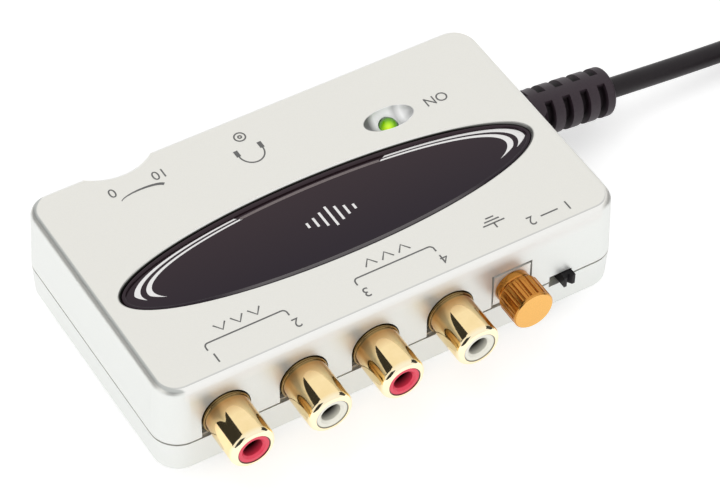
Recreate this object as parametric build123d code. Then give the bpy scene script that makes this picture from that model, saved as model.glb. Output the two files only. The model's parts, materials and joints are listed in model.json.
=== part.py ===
"""A small USB audio interface: two silver shells round a circuit board, four RCA sockets, a ground
terminal and a line switch in front, a headphone socket and a volume wheel behind, and a USB lead.

Millimetres. +Z is up, +X points to the end with the USB lead, and the RCA sockets face -Y.
The origin is under the middle of the object, on the surface that its feet stand on.
"""
import math
import os

from build123d import *

# Front panel, from the -X end: end margin, four sockets in two pairs, ground terminal, switch, end margin
LEFT_MARGIN = 11.4
JACK_PITCH = 14.5
PAIR_GAP = 13.7
GROUND_GAP = 12.2
SWITCH_GAP = 9.95
RIGHT_MARGIN = 12.35

# Case shells
CASE_W = 51.2
BASE_H = 7.0
COVER_H = 12.4
WALL = 1.6
CORNER_R = 5.0
COVER_DRAFT = 2.5
BASE_DRAFT = 2.4
TOP_EDGE_R = 1.3
BASE_EDGE_R = 1.0
SEAM_CHAMFER = 0.15
SEAM_GAP = 0.25
SEAM_DEEP = 0.8
INNER_GAP = 0.2
FOOT_H = 2.6
FOOT_D = 8.0
FOOT_EDGE_R = 0.6
FOOT_INSET_X = 12.8
FOOT_INSET_Y = 7.2

# Case screws, with their bosses
BOSS_D = 5.6
BOSS_INSET = 5.4
BOSS_FRONT_INSET = 17.7
BOSS_BACK_INSET = 6.6
CASE_SCREW_D = 2.6
CASE_SCREW_L = 10.0
SCREW_HEAD_D = 4.4
SCREW_HEAD_H = 1.5
SCREW_HEAD_SUNK = 0.4
SCREW_CROSS_L = 2.4
SCREW_CROSS_W = 0.6
SCREW_CROSS_DEEP = 0.8
SCREW_CLEAR = 0.15
THREAD_CLEAR = 0.02

# Oval badge and lamp dimple in the top of the cover
BADGE_END_MARGIN = 4.7
BADGE_W = 18.6
BADGE_Y = -3.05
BADGE_SUNK = 0.8
BADGE_T = 0.5
BADGE_BEAD_W = 0.9
BADGE_BEAD_H = 0.45
BADGE_BEAD_R = 0.28
BADGE_RIM_CHAMFER = 0.35
BADGE_CLEAR = 0.1
PAD_T = 1.2
PAD_MARGIN = 1.5
DIMPLE_L = 9.4
DIMPLE_W = 5.0
DIMPLE_DEEP = 2.0
LAMP_FROM_END = 24.3
LAMP_Y = 11.3
LAMP_D = 3.4
LAMP_TOP_SUNK = 0.5
LAMP_H = 5.4
LAMP_FLANGE_D = 4.2
LAMP_FLANGE_H = 1.0
LAMP_CLEAR = 0.08
LEAD_PITCH = 2.0
LEAD_W = 0.5

# Circuit board
BOARD_T = 1.6
STANDOFF_H = 1.4
STANDOFF_D = 5.0
BOARD_GAP = 0.5
BOARD_SCREW_D = 2.0
BOARD_SCREW_L = 4.0
BOARD_SCREW_HEAD_D = 3.8
BOARD_SCREW_HEAD_H = 1.2
BOARD_SCREW_PLACES = [(-33.5, 3.5), (33.0, -3.0), (8.0, 17.5)]
CHIP_W = 7.0
CHIP_T = 1.4
CHIP_PLACE = (14.0, -1.0)
CHIP_LEGS = 12
CHIP_LEG_PITCH = 0.5
CHIP_LEG_W = 0.22
CHIP_LEG_L = 1.0
CHIP_LEG_T = 0.2
AMP_L = 4.9
AMP_W = 3.9
AMP_PLACE = (-4.0, -6.0)
AMP_LEGS = 4
AMP_LEG_PITCH = 1.27
AMP_LEG_W = 0.4
REGULATOR_L = 6.5
REGULATOR_W = 3.5
REGULATOR_T = 1.6
REGULATOR_TAB_L = 3.0
REGULATOR_PLACE = (26.0, 2.0)
CRYSTAL_L = 11.0
CRYSTAL_W = 4.6
CRYSTAL_H = 3.5
CRYSTAL_RIM = 0.4
CRYSTAL_RIM_T = 0.4
CRYSTAL_PLACE = (11.5, 8.0)
CAN_D = 5.0
CAN_H = 7.0
CAN_BASE_H = 1.2
CAN_NECK = 0.3
CAN_PLACES = [(-20.0, -6.0), (-13.5, -6.0), (-20.0, 1.5), (-13.5, 1.5)]

# RCA sockets
JACK_AXIS_H = 6.0
JACK_REACH = 9.0
BARREL_D = 8.3
BARREL_FLANGE_D = 8.8
FLANGE_PROUD = 0.05
FLANGE_BLEND_R = 0.15
BARREL_RIM_R = 1.0
BARREL_BORE_D = 6.0
INSULATOR_SUNK = 0.15
INSULATOR_CLEAR = 0.03
INSULATOR_HOLE_D = 3.6
INSULATOR_MOUTH_CHAMFER = 0.4
INSULATOR_LIP = 8.0
CONTACT_D = 4.2
CONTACT_BORE_D = 2.8
CONTACT_CLEAR = 0.03
CONTACT_TAIL_W = 1.2
CONTACT_TAIL_T = 0.6
JACK_SLOT_CLEAR = 0.2
BLOCK_W = 10.6
BLOCK_ABOVE = 5.0
BLOCK_DEEP = 9.0

# Ground terminal
PLATE_W = 7.2
PLATE_ABOVE = 3.5
PLATE_SUNK = 0.2
PLATE_CLEAR = 0.4
NUT_DEEP = 4.5
GROUND_SHANK_D = 3.9
GROUND_SHANK_CLEAR = 0.05
GROUND_SHANK_END = 0.5
GROUND_PITCH = 0.7
WASHER_D = 6.6
WASHER_T = 1.5
WASHER_EDGE_R = 0.5
GROUND_FACE_GAP = 0.1
GROUND_HEAD_D = 7.6
GROUND_HEAD_L = 5.2
FLUTES = 18
FLUTE_R = 0.4
FLUTE_STOP = 0.5
HEAD_SHOULDER_R = 0.6
HEAD_FACE_CHAMFER = 0.2

# Line switch
SWITCH_AXIS_H = 2.4
SWITCH_BODY_L = 9.0
SWITCH_BODY_W = 4.0
SWITCH_BODY_H = 4.6
SWITCH_TRAVEL = 2.0
SLIDER_L = 2.2
SLIDER_H = 2.2
SLIDER_OUT = 1.4
SLIDER_NOTCH = 1.1
SLIDER_NOTCH_DEEP = 0.8
SLIDER_FOOT_L = 3.6
SLIDER_FOOT_H = 2.8
SLIDER_FOOT_T = 1.4
SLIDER_CLEAR = 0.15
SWITCH_PIN_W = 0.6
SWITCH_PIN_PITCH = 2.5

# Headphone socket in the back
PHONES_X = -4.5
PHONES_AXIS_H = 2.4
PHONES_BODY_W = 6.2
PHONES_BODY_L = 11.5
PHONES_BODY_H = 4.8
PHONES_BORE_D = 3.6
PHONES_BORE_L = 11.0
PHONES_BUSH_D = 6.0
PHONES_BUSH_SUNK = 0.2
PHONES_BUSH_CHAMFER = 0.4
PHONES_BUSH_CLEAR = 0.15
PHONES_PINS = 3
PHONES_PIN_W = 1.0
PHONES_PIN_T = 0.4
PHONES_PIN_PITCH = 3.6
PHONES_PIN_FOOT = 1.2

# Volume wheel in a thumb scallop at the back
WHEEL_FROM_END = 18.6
WHEEL_D = 17.0
WHEEL_T = 2.8
WHEEL_ABOVE_BOARD = 3.1
WHEEL_RIM_INSET = 0.6
WHEEL_RIBS = 60
WHEEL_RIB_R = 0.26
WHEEL_EDGE_CHAMFER = 0.25
WHEEL_CLEAR = 0.4
SCALLOP_R = 10.3
SCALLOP_DEEP = 2.7
SCALLOP_SHOULDER_R = 2.0
POT_W = 9.0
POT_H = 2.7
POT_SHAFT_D = 4.0
POT_SHAFT_CLEAR = 0.05
POT_SCREW_HEAD_D = 3.6
POT_SCREW_HEAD_H = 0.9
POT_SCREW_D = 1.8
POT_SCREW_L = 3.4
POT_PINS = 3
POT_PIN_W = 0.8
POT_PIN_T = 0.3
POT_PIN_PITCH = 2.5

# USB strain relief
RELIEF_FROM_BACK = 15.2
RELIEF_D = 9.2
RELIEF_CORE_D = 5.9
RELIEF_L = 20.4
RELIEF_DROOP = 7.0
RELIEF_STANDOFF = 0.65
RELIEF_COLLAR = 1.9
RELIEF_SLOT = 1.7
RELIEF_SLOT_PITCH = 3.8
RELIEF_SLOTS = 5
RELIEF_WEB = 2.2
RELIEF_WEB_TURN = 12.0
RELIEF_EDGE_R = 0.5
RELIEF_NECK_D = 6.4
RELIEF_NECK_CLEAR = 0.15
RELIEF_FLANGE_D = 9.2
RELIEF_FLANGE_T = 1.6
HEADER_L = 4.8
HEADER_W = 8.4
HEADER_H = 5.4
HEADER_FROM_END = 10.2
WIRES = 4
WIRE_D = 1.0
WIRE_PITCH = 1.7

# USB lead: a free stretch, then a flat coil of two layers with the plug lying on it
CABLE_D = 3.9
CABLE_FIRST_RUN = 12.0
CABLE_DROP = [(47.0, 4.2), (59.0, 3.3)]
CABLE_LANDING = 67.0
CABLE_COIL_START = 74.0
COIL_OUT_R = 27.2
COIL_PITCH = 4.45
COIL_TURNS = 3.25
COIL_CLIMB = 0.5
COIL_LIFT = 0.25
COIL_TAIL_R = 14.0
ARC_SHARE = 0.45
PLUG_W = 15.4
PLUG_L = 19.0
PLUG_T = 7.4
PLUG_EDGE_R = 1.4
PLUG_TAIL_L = 6.0
PLUG_TAIL_D = 6.4
PLUG_TAIL_END_D = 4.6
PLUG_LIFT = 0.3
USB_SHELL_W = 12.0
USB_SHELL_H = 4.5
USB_SHELL_L = 12.0
USB_SHELL_T = 0.3
USB_WINDOW_W = 2.5
USB_WINDOW_L = 2.2
USB_WINDOW_BACK = 5.2
USB_TONGUE_T = 1.9
USB_TONGUE_BACK = 0.6
USB_TONGUE_CLEAR = 0.05
USB_PADS = 4
USB_PAD_PITCH = 2.4
USB_PAD_W = 1.0
USB_PAD_L = 7.4
USB_PAD_T = 0.15
TIE_W = 5.0
TIE_T = 0.7
TIE_GAP = 0.3
TIE_SIDE_GAP = 0.6

# Levels and walls that follow from the sizes above
CASE_L = LEFT_MARGIN + 2 * JACK_PITCH + PAIR_GAP + GROUND_GAP + SWITCH_GAP + RIGHT_MARGIN
CASE_Y = JACK_REACH / 2
LEFT_X = -CASE_L / 2
RIGHT_X = CASE_L / 2
FRONT_Y = CASE_Y - CASE_W / 2
BACK_Y = CASE_Y + CASE_W / 2
BASE_Z = FOOT_H
SEAM_Z = BASE_Z + BASE_H
TOP_Z = SEAM_Z + COVER_H
FLOOR_Z = BASE_Z + WALL
CEILING_Z = TOP_Z - WALL
BOARD_Z = FLOOR_Z + STANDOFF_H
BOARD_TOP = BOARD_Z + BOARD_T
BEHIND_WALL = INNER_GAP + COVER_H * math.tan(math.radians(COVER_DRAFT))
INNER_FRONT = FRONT_Y + WALL + BEHIND_WALL
INNER_BACK = BACK_Y - WALL - BEHIND_WALL
INNER_RIGHT = RIGHT_X - WALL - BEHIND_WALL
JACK_Z = BOARD_TOP + JACK_AXIS_H
SWITCH_Z = BOARD_TOP + SWITCH_AXIS_H
PHONES_Z = BOARD_TOP + PHONES_AXIS_H
JACK_1_X = LEFT_X + LEFT_MARGIN
JACK_3_X = JACK_1_X + JACK_PITCH + PAIR_GAP
JACK_XS = [JACK_1_X, JACK_1_X + JACK_PITCH, JACK_3_X, JACK_3_X + JACK_PITCH]
GROUND_X = JACK_XS[3] + GROUND_GAP
SWITCH_X = GROUND_X + SWITCH_GAP
LAMP_X = RIGHT_X - LAMP_FROM_END
WHEEL_X = LEFT_X + WHEEL_FROM_END
WHEEL_Y = BACK_Y - WHEEL_RIM_INSET - WHEEL_D / 2
WHEEL_Z = BOARD_TOP + WHEEL_ABOVE_BOARD
SCALLOP_Y = BACK_Y - SCALLOP_DEEP + SCALLOP_R
RELIEF_Y = BACK_Y - RELIEF_FROM_BACK
BADGE_L = CASE_L - 2 * BADGE_END_MARGIN
CUT = 3.0

BOTTOM = (Align.CENTER, Align.CENTER, Align.MIN)


def block(x0, x1, y0, y1, z0, z1):
    """A box between two corners."""
    return Pos((x0 + x1) / 2, (y0 + y1) / 2, (z0 + z1) / 2) * Box(x1 - x0, y1 - y0, z1 - z0)


def rod_z(x, y, z0, z1, radius):
    """A round bar that stands on z0 and ends at z1."""
    return Pos(x, y, z0) * Cylinder(radius, z1 - z0, align=BOTTOM)


def rod_y(x, y0, y1, z, radius):
    """A round bar along Y from y0 to y1."""
    return Pos(x, y0, z) * Rot(-90, 0, 0) * Cylinder(radius, y1 - y0, align=BOTTOM)


def rod_x(x0, x1, y, z, radius):
    """A round bar along X from x0 to x1."""
    return Pos(x0, y, z) * Rot(0, 90, 0) * Cylinder(radius, x1 - x0, align=BOTTOM)


def group(pieces):
    """Separate solids that share a node."""
    return Compound(children=list(pieces))


def screw(shank_d, shank_l, head_d, head_h):
    """A pan-head screw with a cross recess, head down on z = 0 and shank up."""
    head = Cylinder(head_d / 2, head_h, align=BOTTOM)
    head = fillet(head.edges().sort_by(Axis.Z)[0], head_h / 3)
    cross = Box(SCREW_CROSS_L, SCREW_CROSS_W, SCREW_CROSS_DEEP, align=BOTTOM)
    shank = Pos(0, 0, head_h) * Cylinder(shank_d / 2, shank_l, align=BOTTOM)
    return head - cross - Rot(0, 0, 90) * cross + shank


def boss_places():
    """Plan places of the four case screws."""
    rows = (FRONT_Y + BOSS_FRONT_INSET, BACK_Y - BOSS_BACK_INSET)
    return [(side * (RIGHT_X - BOSS_INSET), y) for side in (-1, 1) for y in rows]


def board_places(places):
    """Board places are given from the middle of the case."""
    return [(x, CASE_Y + y) for x, y in places]


def tapered_block(inset, height, draft):
    """The case's rounded plan at the seam, drawn in as it rises from z = 0."""
    plan = RectangleRounded(CASE_L - 2 * inset, CASE_W - 2 * inset, CORNER_R - inset)
    return extrude(plan, height, taper=draft)


def scallop_cut(z0, z1):
    """The thumb scallop in the back wall, with rounded shoulders."""
    rise = SCALLOP_R - SCALLOP_DEEP + SCALLOP_SHOULDER_R
    reach = SCALLOP_R + SCALLOP_SHOULDER_R
    half = math.sqrt(reach**2 - rise**2)
    share = SCALLOP_R / reach
    touch = (half * share, SCALLOP_Y - rise * share)
    lean = math.atan2(half, rise) / 2
    bow = (
        half - SCALLOP_SHOULDER_R * math.sin(lean),
        BACK_Y - SCALLOP_SHOULDER_R + SCALLOP_SHOULDER_R * math.cos(lean),
    )
    deep = (0, BACK_Y - SCALLOP_DEEP)
    out = BACK_Y + CUT
    lines = [
        ThreePointArc((-half, BACK_Y), (-bow[0], bow[1]), (-touch[0], touch[1])),
        ThreePointArc((-touch[0], touch[1]), deep, touch),
        ThreePointArc(touch, bow, (half, BACK_Y)),
        Polyline((half, BACK_Y), (half, out), (-half, out), (-half, BACK_Y)),
    ]
    return Pos(WHEEL_X, 0, z0) * extrude(make_face(lines), z1 - z0, dir=(0, 0, 1))


def scallop_lining(z0, z1):
    """The wall behind the scallop."""
    return rod_z(WHEEL_X, SCALLOP_Y, z0, z1, SCALLOP_R + WALL)


def wheel_slot(z0, z1):
    """Room for the volume wheel where it passes through the scallop."""
    return rod_z(WHEEL_X, WHEEL_Y, z0, z1, WHEEL_D / 2 + WHEEL_CLEAR)


def jack_hole(x):
    """The round hole for an RCA socket's flange through the front wall."""
    radius = BARREL_FLANGE_D / 2 + JACK_SLOT_CLEAR
    return rod_y(x, FRONT_Y - CUT, INNER_FRONT + BEHIND_WALL, JACK_Z, radius)


def jack_slot(x):
    """The same hole, open down to the seam so that the cover drops over the socket."""
    radius = BARREL_FLANGE_D / 2 + JACK_SLOT_CLEAR
    return block(
        x - radius, x + radius, FRONT_Y - CUT, INNER_FRONT + BEHIND_WALL, SEAM_Z - CUT, JACK_Z
    )


def shared_cuts():
    """Holes that lie across the seam and are cut in both shells."""
    slot_l = SLIDER_L + SWITCH_TRAVEL + 2 * SLIDER_CLEAR
    slot_h = SLIDER_H / 2 + SLIDER_CLEAR
    switch = block(
        SWITCH_X - slot_l / 2,
        SWITCH_X + slot_l / 2,
        FRONT_Y - CUT,
        INNER_FRONT,
        SWITCH_Z - slot_h,
        SWITCH_Z + slot_h,
    )
    bush_r = PHONES_BUSH_D / 2 + PHONES_BUSH_CLEAR
    phones = rod_y(PHONES_X, INNER_BACK, BACK_Y + CUT, PHONES_Z, bush_r)
    neck_r = RELIEF_NECK_D / 2 + RELIEF_NECK_CLEAR
    relief = rod_x(INNER_RIGHT, RIGHT_X + CUT, RELIEF_Y, SEAM_Z, neck_r)
    slot_top = WHEEL_Z + WHEEL_T + WHEEL_CLEAR
    wheel = wheel_slot(WHEEL_Z - WHEEL_CLEAR, slot_top)
    return [switch, phones, relief, wheel]


def oval(length, width, z0, z1, x, y):
    """An upright oval plug."""
    return Pos(x, y, z0) * extrude(Ellipse(length / 2, width / 2), z1 - z0)


def badge_recess_floor():
    """The level on which the badge plate lies."""
    return TOP_Z - BADGE_SUNK - BADGE_T


def top_cover():
    """The upper shell, with the badge recess, the lamp dimple and the slots for the sockets."""
    shell = Pos(0, CASE_Y, SEAM_Z) * tapered_block(0, COVER_H, COVER_DRAFT)
    shell -= scallop_cut(SEAM_Z - CUT, TOP_Z + CUT)
    shell = chamfer(shell.faces().sort_by(Axis.Z)[0].edges(), SEAM_CHAMFER)
    shell = fillet(shell.faces().sort_by(Axis.Z)[-1].edges(), TOP_EDGE_R)
    cavity = Pos(0, CASE_Y, SEAM_Z) * tapered_block(WALL, COVER_H - WALL, COVER_DRAFT)
    cavity -= scallop_lining(SEAM_Z, CEILING_Z)
    badge_y = CASE_Y + BADGE_Y
    lamp_y = CASE_Y + LAMP_Y
    pad_z = badge_recess_floor() - PAD_T
    cavity -= oval(
        BADGE_L - 2 * PAD_MARGIN, BADGE_W + 2 * PAD_MARGIN, pad_z, CEILING_Z, 0, badge_y
    )
    dimple_pad_z = TOP_Z - DIMPLE_DEEP - PAD_T
    pad_l = DIMPLE_L + 2 * PAD_MARGIN
    pad_w = DIMPLE_W + 2 * PAD_MARGIN
    cavity -= oval(pad_l, pad_w, dimple_pad_z, CEILING_Z, LAMP_X, lamp_y)
    for x, y in boss_places():
        cavity -= rod_z(x, y, SEAM_Z, CEILING_Z, BOSS_D / 2)
    shell -= cavity
    recess = oval(BADGE_L, BADGE_W, badge_recess_floor(), TOP_Z + CUT, 0, badge_y)
    shell -= recess
    rim = shell.faces().filter_by(Axis.Z).sort_by(Axis.Z)[-1].inner_wires()[0]
    shell = chamfer(rim.edges(), BADGE_RIM_CHAMFER)
    bowl = scale(Sphere(1), by=(DIMPLE_L / 2, DIMPLE_W / 2, DIMPLE_DEEP))
    shell -= Pos(LAMP_X, lamp_y, TOP_Z) * bowl
    shell -= rod_z(LAMP_X, lamp_y, dimple_pad_z - CUT, TOP_Z, LAMP_D / 2 + LAMP_CLEAR)
    thread_r = CASE_SCREW_D / 2 + THREAD_CLEAR
    for x, y in boss_places():
        shell -= rod_z(x, y, SEAM_Z, CEILING_Z, thread_r)
    for x in JACK_XS:
        shell -= jack_hole(x) + jack_slot(x)
    shell -= block(
        GROUND_X - PLATE_W / 2 - PLATE_CLEAR,
        GROUND_X + PLATE_W / 2 + PLATE_CLEAR,
        FRONT_Y - CUT,
        INNER_FRONT,
        SEAM_Z - CUT,
        JACK_Z + PLATE_ABOVE + PLATE_CLEAR,
    )
    for cut in shared_cuts():
        shell -= cut
    return shell - wheel_slot(SEAM_Z, WHEEL_Z + WHEEL_T)


def seam_groove():
    """The shadow line between the shells: the lower shell's rim is lower along its outside."""
    height = SEAM_GAP + CUT
    ring = tapered_block(-CUT, height, 0) - tapered_block(SEAM_DEEP, height, 0)
    return Pos(0, CASE_Y, SEAM_Z - SEAM_GAP) * ring


def bottom_shell():
    """The lower shell, with its screw bosses and the board's standoffs."""
    shell = Pos(0, CASE_Y, SEAM_Z) * Rot(180, 0, 0) * tapered_block(0, BASE_H, BASE_DRAFT)
    shell = fillet(shell.faces().sort_by(Axis.Z)[0].edges(), BASE_EDGE_R)
    shell -= scallop_cut(BASE_Z - CUT, SEAM_Z + CUT)
    shell -= seam_groove()
    cavity = Pos(0, CASE_Y, SEAM_Z) * Rot(180, 0, 0) * tapered_block(WALL, BASE_H - WALL, BASE_DRAFT)
    cavity -= scallop_lining(FLOOR_Z, SEAM_Z)
    for x, y in boss_places():
        cavity -= rod_z(x, y, FLOOR_Z, SEAM_Z, BOSS_D / 2)
    for x, y in board_places(BOARD_SCREW_PLACES):
        cavity -= rod_z(x, y, FLOOR_Z, BOARD_Z, STANDOFF_D / 2)
    shell -= cavity
    head_top = BASE_Z + SCREW_HEAD_SUNK + SCREW_HEAD_H
    for x, y in boss_places():
        shell -= rod_z(x, y, BASE_Z - CUT, head_top, SCREW_HEAD_D / 2 + SCREW_CLEAR)
        shell -= rod_z(x, y, head_top, SEAM_Z, CASE_SCREW_D / 2 + SCREW_CLEAR)
    board_screw_end = BOARD_TOP - BOARD_SCREW_L
    for x, y in board_places(BOARD_SCREW_PLACES):
        shell -= rod_z(x, y, board_screw_end, BOARD_Z, BOARD_SCREW_D / 2 + THREAD_CLEAR)
    for x in JACK_XS:
        shell -= jack_hole(x)
    for cut in shared_cuts():
        shell -= cut
    return shell


def badge_plate():
    """The oval plate that lies in the cover's recess, with a rounded bead along its edge."""
    floor = badge_recess_floor()
    face = floor + BADGE_T
    top = face + BADGE_BEAD_H
    y = CASE_Y + BADGE_Y
    length = BADGE_L - 2 * BADGE_CLEAR
    width = BADGE_W - 2 * BADGE_CLEAR
    plate = oval(length, width, floor, top, 0, y)
    plate -= oval(length - 2 * BADGE_BEAD_W, width - 2 * BADGE_BEAD_W, face, top, 0, y)
    bead = plate.faces().filter_by(Axis.Z).sort_by(Axis.Z)[-1]
    return fillet(bead.edges(), BADGE_BEAD_R)


def rubber_feet():
    """Four round stick-on feet."""
    foot = Cylinder(FOOT_D / 2, FOOT_H, align=BOTTOM)
    foot = fillet(foot.edges().sort_by(Axis.Z)[0], FOOT_EDGE_R)
    x = RIGHT_X - FOOT_INSET_X
    y = CASE_W / 2 - FOOT_INSET_Y
    return group(Pos(sx * x, CASE_Y + sy * y, 0) * foot for sx in (-1, 1) for sy in (-1, 1))


def case_screws():
    """Four screws that hold the base to the cover's bosses."""
    one = screw(CASE_SCREW_D, CASE_SCREW_L, SCREW_HEAD_D, SCREW_HEAD_H)
    return group(Pos(x, y, BASE_Z + SCREW_HEAD_SUNK) * one for x, y in boss_places())


def main_board():
    """The circuit board, cut clear of the bosses and the scallop."""
    edge = WALL + BOARD_GAP + BASE_H * math.tan(math.radians(BASE_DRAFT))
    plan = RectangleRounded(CASE_L - 2 * edge, CASE_W - 2 * edge, CORNER_R - edge)
    board = Pos(0, CASE_Y, BOARD_Z) * extrude(plan, BOARD_T)
    top = BOARD_Z + BOARD_T
    board -= rod_z(WHEEL_X, SCALLOP_Y, BOARD_Z, top, SCALLOP_R + WALL + BOARD_GAP)
    room = BOSS_D / 2 + BOARD_GAP
    for x, y in boss_places():
        out = math.copysign(RIGHT_X, x)
        board -= rod_z(x, y, BOARD_Z, top, room)
        board -= block(min(x, out), max(x, out), y - room, y + room, BOARD_Z, top)
    for x, y in board_places(BOARD_SCREW_PLACES):
        board -= rod_z(x, y, BOARD_Z, top, BOARD_SCREW_D / 2 + SCREW_CLEAR)
    flange_x = INNER_RIGHT - RELIEF_FLANGE_T - BOARD_GAP
    flange_y = RELIEF_Y
    half = RELIEF_FLANGE_D / 2 + BOARD_GAP
    return board - block(flange_x, RIGHT_X, flange_y - half, flange_y + half, BOARD_Z, top)


def board_screws():
    """Screws that hold the board to its standoffs."""
    one = screw(BOARD_SCREW_D, BOARD_SCREW_L, BOARD_SCREW_HEAD_D, BOARD_SCREW_HEAD_H)
    top = BOARD_TOP + BOARD_SCREW_HEAD_H
    places = board_places(BOARD_SCREW_PLACES)
    return group(Pos(x, y, top) * Rot(180, 0, 0) * one for x, y in places)


def leg_row(count, pitch, width, out):
    """Bent-down chip legs in a row along X, reaching from y = 0 to y = out, feet on z = 0."""
    legs = []
    half = CHIP_T / 2
    for i in range(count):
        x = (i - (count - 1) / 2) * pitch
        shoulder = block(x - width / 2, x + width / 2, 0, out / 2, half - CHIP_LEG_T, half)
        drop = block(x - width / 2, x + width / 2, out / 2 - CHIP_LEG_T, out / 2, 0, half)
        toe = block(x - width / 2, x + width / 2, out / 2 - CHIP_LEG_T, out, 0, CHIP_LEG_T)
        legs.append(shoulder + drop + toe)
    return legs


def codec_chip():
    """A square chip with legs on all four sides."""
    chip = Box(CHIP_W, CHIP_W, CHIP_T, align=BOTTOM)
    row = leg_row(CHIP_LEGS, CHIP_LEG_PITCH, CHIP_LEG_W, CHIP_LEG_L)
    for quarter in range(4):
        for leg in row:
            chip += Rot(0, 0, 90 * quarter) * Pos(0, CHIP_W / 2, 0) * leg
    x, y = CHIP_PLACE
    return Pos(x, CASE_Y + y, BOARD_TOP) * chip


def amplifier_chip():
    """A small chip with legs on two sides."""
    chip = Box(AMP_L, AMP_W, CHIP_T, align=BOTTOM)
    row = leg_row(AMP_LEGS, AMP_LEG_PITCH, AMP_LEG_W, CHIP_LEG_L)
    for half_turn in (0, 180):
        for leg in row:
            chip += Rot(0, 0, half_turn) * Pos(0, AMP_W / 2, 0) * leg
    x, y = AMP_PLACE
    return Pos(x, CASE_Y + y, BOARD_TOP) * chip


def voltage_regulator():
    """A regulator with a wide solder tab."""
    body = Box(REGULATOR_L, REGULATOR_W, REGULATOR_T, align=BOTTOM)
    body += block(
        -REGULATOR_TAB_L / 2,
        REGULATOR_TAB_L / 2,
        REGULATOR_W / 2,
        REGULATOR_W / 2 + CHIP_LEG_L,
        0,
        CHIP_LEG_T,
    )
    for leg in leg_row(3, AMP_LEG_PITCH * 2, AMP_LEG_W, CHIP_LEG_L):
        body += Rot(0, 0, 180) * Pos(0, REGULATOR_W / 2, 0) * leg
    x, y = REGULATOR_PLACE
    return Pos(x, CASE_Y + y, BOARD_TOP) * body


def crystal():
    """A metal crystal can with a rim."""
    rim = extrude(SlotOverall(CRYSTAL_L, CRYSTAL_W), CRYSTAL_RIM_T)
    can = extrude(SlotOverall(CRYSTAL_L - 2 * CRYSTAL_RIM, CRYSTAL_W - 2 * CRYSTAL_RIM), CRYSTAL_H)
    x, y = CRYSTAL_PLACE
    return Pos(x, CASE_Y + y, BOARD_TOP) * (rim + can)


def capacitor_cans():
    """Electrolytic capacitors with a drawn-in neck above the base."""
    neck = CAN_D / 2 - CAN_NECK
    base = Cylinder(CAN_D / 2, CAN_BASE_H, align=BOTTOM)
    waist = Pos(0, 0, CAN_BASE_H) * Cylinder(neck, CAN_NECK, align=BOTTOM)
    upper_z = CAN_BASE_H + CAN_NECK
    upper = Pos(0, 0, upper_z) * Cylinder(CAN_D / 2, CAN_H - upper_z, align=BOTTOM)
    upper = fillet(upper.edges().sort_by(Axis.Z)[-1], CAN_NECK)
    can = base + waist + upper
    return group(Pos(x, y, BOARD_TOP) * can for x, y in board_places(CAN_PLACES))


def lamp_lens():
    """The lamp: a domed lens with a flange at its foot."""
    radius = LAMP_D / 2
    top = TOP_Z - LAMP_TOP_SUNK
    foot = top - LAMP_H
    lens = rod_z(0, 0, foot, top - radius, radius)
    lens += Pos(0, 0, top - radius) * Sphere(radius)
    lens += rod_z(0, 0, foot, foot + LAMP_FLANGE_H, LAMP_FLANGE_D / 2)
    return Pos(LAMP_X, CASE_Y + LAMP_Y, 0) * lens


def lamp_leads():
    """Two leads from the lamp down to the board."""
    foot = TOP_Z - LAMP_TOP_SUNK - LAMP_H
    half = LEAD_W / 2
    y = CASE_Y + LAMP_Y
    places = (LAMP_X - LEAD_PITCH / 2, LAMP_X + LEAD_PITCH / 2)
    return group(block(x - half, x + half, y - half, y + half, BOARD_TOP, foot) for x in places)


def turned(profile):
    """A turned piece: a (radius, y) outline swept round the Y axis."""
    return revolve(make_face(Polyline(*profile, close=True)), axis=Axis.Y)


def rca_barrel(x):
    """A gold socket sleeve: its flange fills the case's slot and stands on the housing."""
    tip = FRONT_Y - JACK_REACH
    bore = BARREL_BORE_D / 2
    flange_y = FRONT_Y - FLANGE_PROUD
    outline = [
        (bore, INNER_FRONT),
        (BARREL_FLANGE_D / 2, INNER_FRONT),
        (BARREL_FLANGE_D / 2, flange_y),
        (BARREL_D / 2, flange_y),
        (BARREL_D / 2, tip),
        (bore, tip),
    ]
    face = make_face(Polyline(*outline, close=True))
    root = face.vertices().sort_by_distance((BARREL_D / 2, flange_y))[0]
    face = fillet(root, FLANGE_BLEND_R)
    rim = face.vertices().sort_by_distance((BARREL_D / 2, tip))[0]
    face = fillet(rim, BARREL_RIM_R)
    return Pos(x, 0, JACK_Z) * revolve(face, axis=Axis.Y)


def insulator_back():
    """The y of the insulator's back end, flush with the back of the housing."""
    return INNER_FRONT + BLOCK_DEEP


def rca_insulator(x):
    """A coloured insulator with a chamfered mouth and a pocket for the contact."""
    outer = BARREL_BORE_D / 2 - INSULATOR_CLEAR
    hole = INSULATOR_HOLE_D / 2
    pocket = CONTACT_D / 2 + CONTACT_CLEAR
    face_y = FRONT_Y - JACK_REACH + INSULATOR_SUNK
    lip_y = face_y + INSULATOR_LIP
    outline = [
        (hole + INSULATOR_MOUTH_CHAMFER, face_y),
        (outer, face_y),
        (outer, insulator_back()),
        (pocket, insulator_back()),
        (pocket, lip_y),
        (hole, lip_y),
        (hole, face_y + INSULATOR_MOUTH_CHAMFER),
    ]
    return Pos(x, 0, JACK_Z) * turned(outline)


def rca_contact(x):
    """The centre contact: a tube in the insulator and a tail down behind the housing."""
    start = FRONT_Y - JACK_REACH + INSULATOR_SUNK + INSULATOR_LIP + CONTACT_CLEAR
    end = insulator_back()
    tube = rod_y(x, start, end, JACK_Z, CONTACT_D / 2)
    tube -= rod_y(x, start, end, JACK_Z, CONTACT_BORE_D / 2)
    half = CONTACT_TAIL_W / 2
    cap = rod_y(x, end, end + CONTACT_TAIL_T, JACK_Z, CONTACT_D / 2)
    tail = block(x - half, x + half, end, end + CONTACT_TAIL_T, BOARD_TOP, JACK_Z)
    return tube + cap + tail


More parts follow.
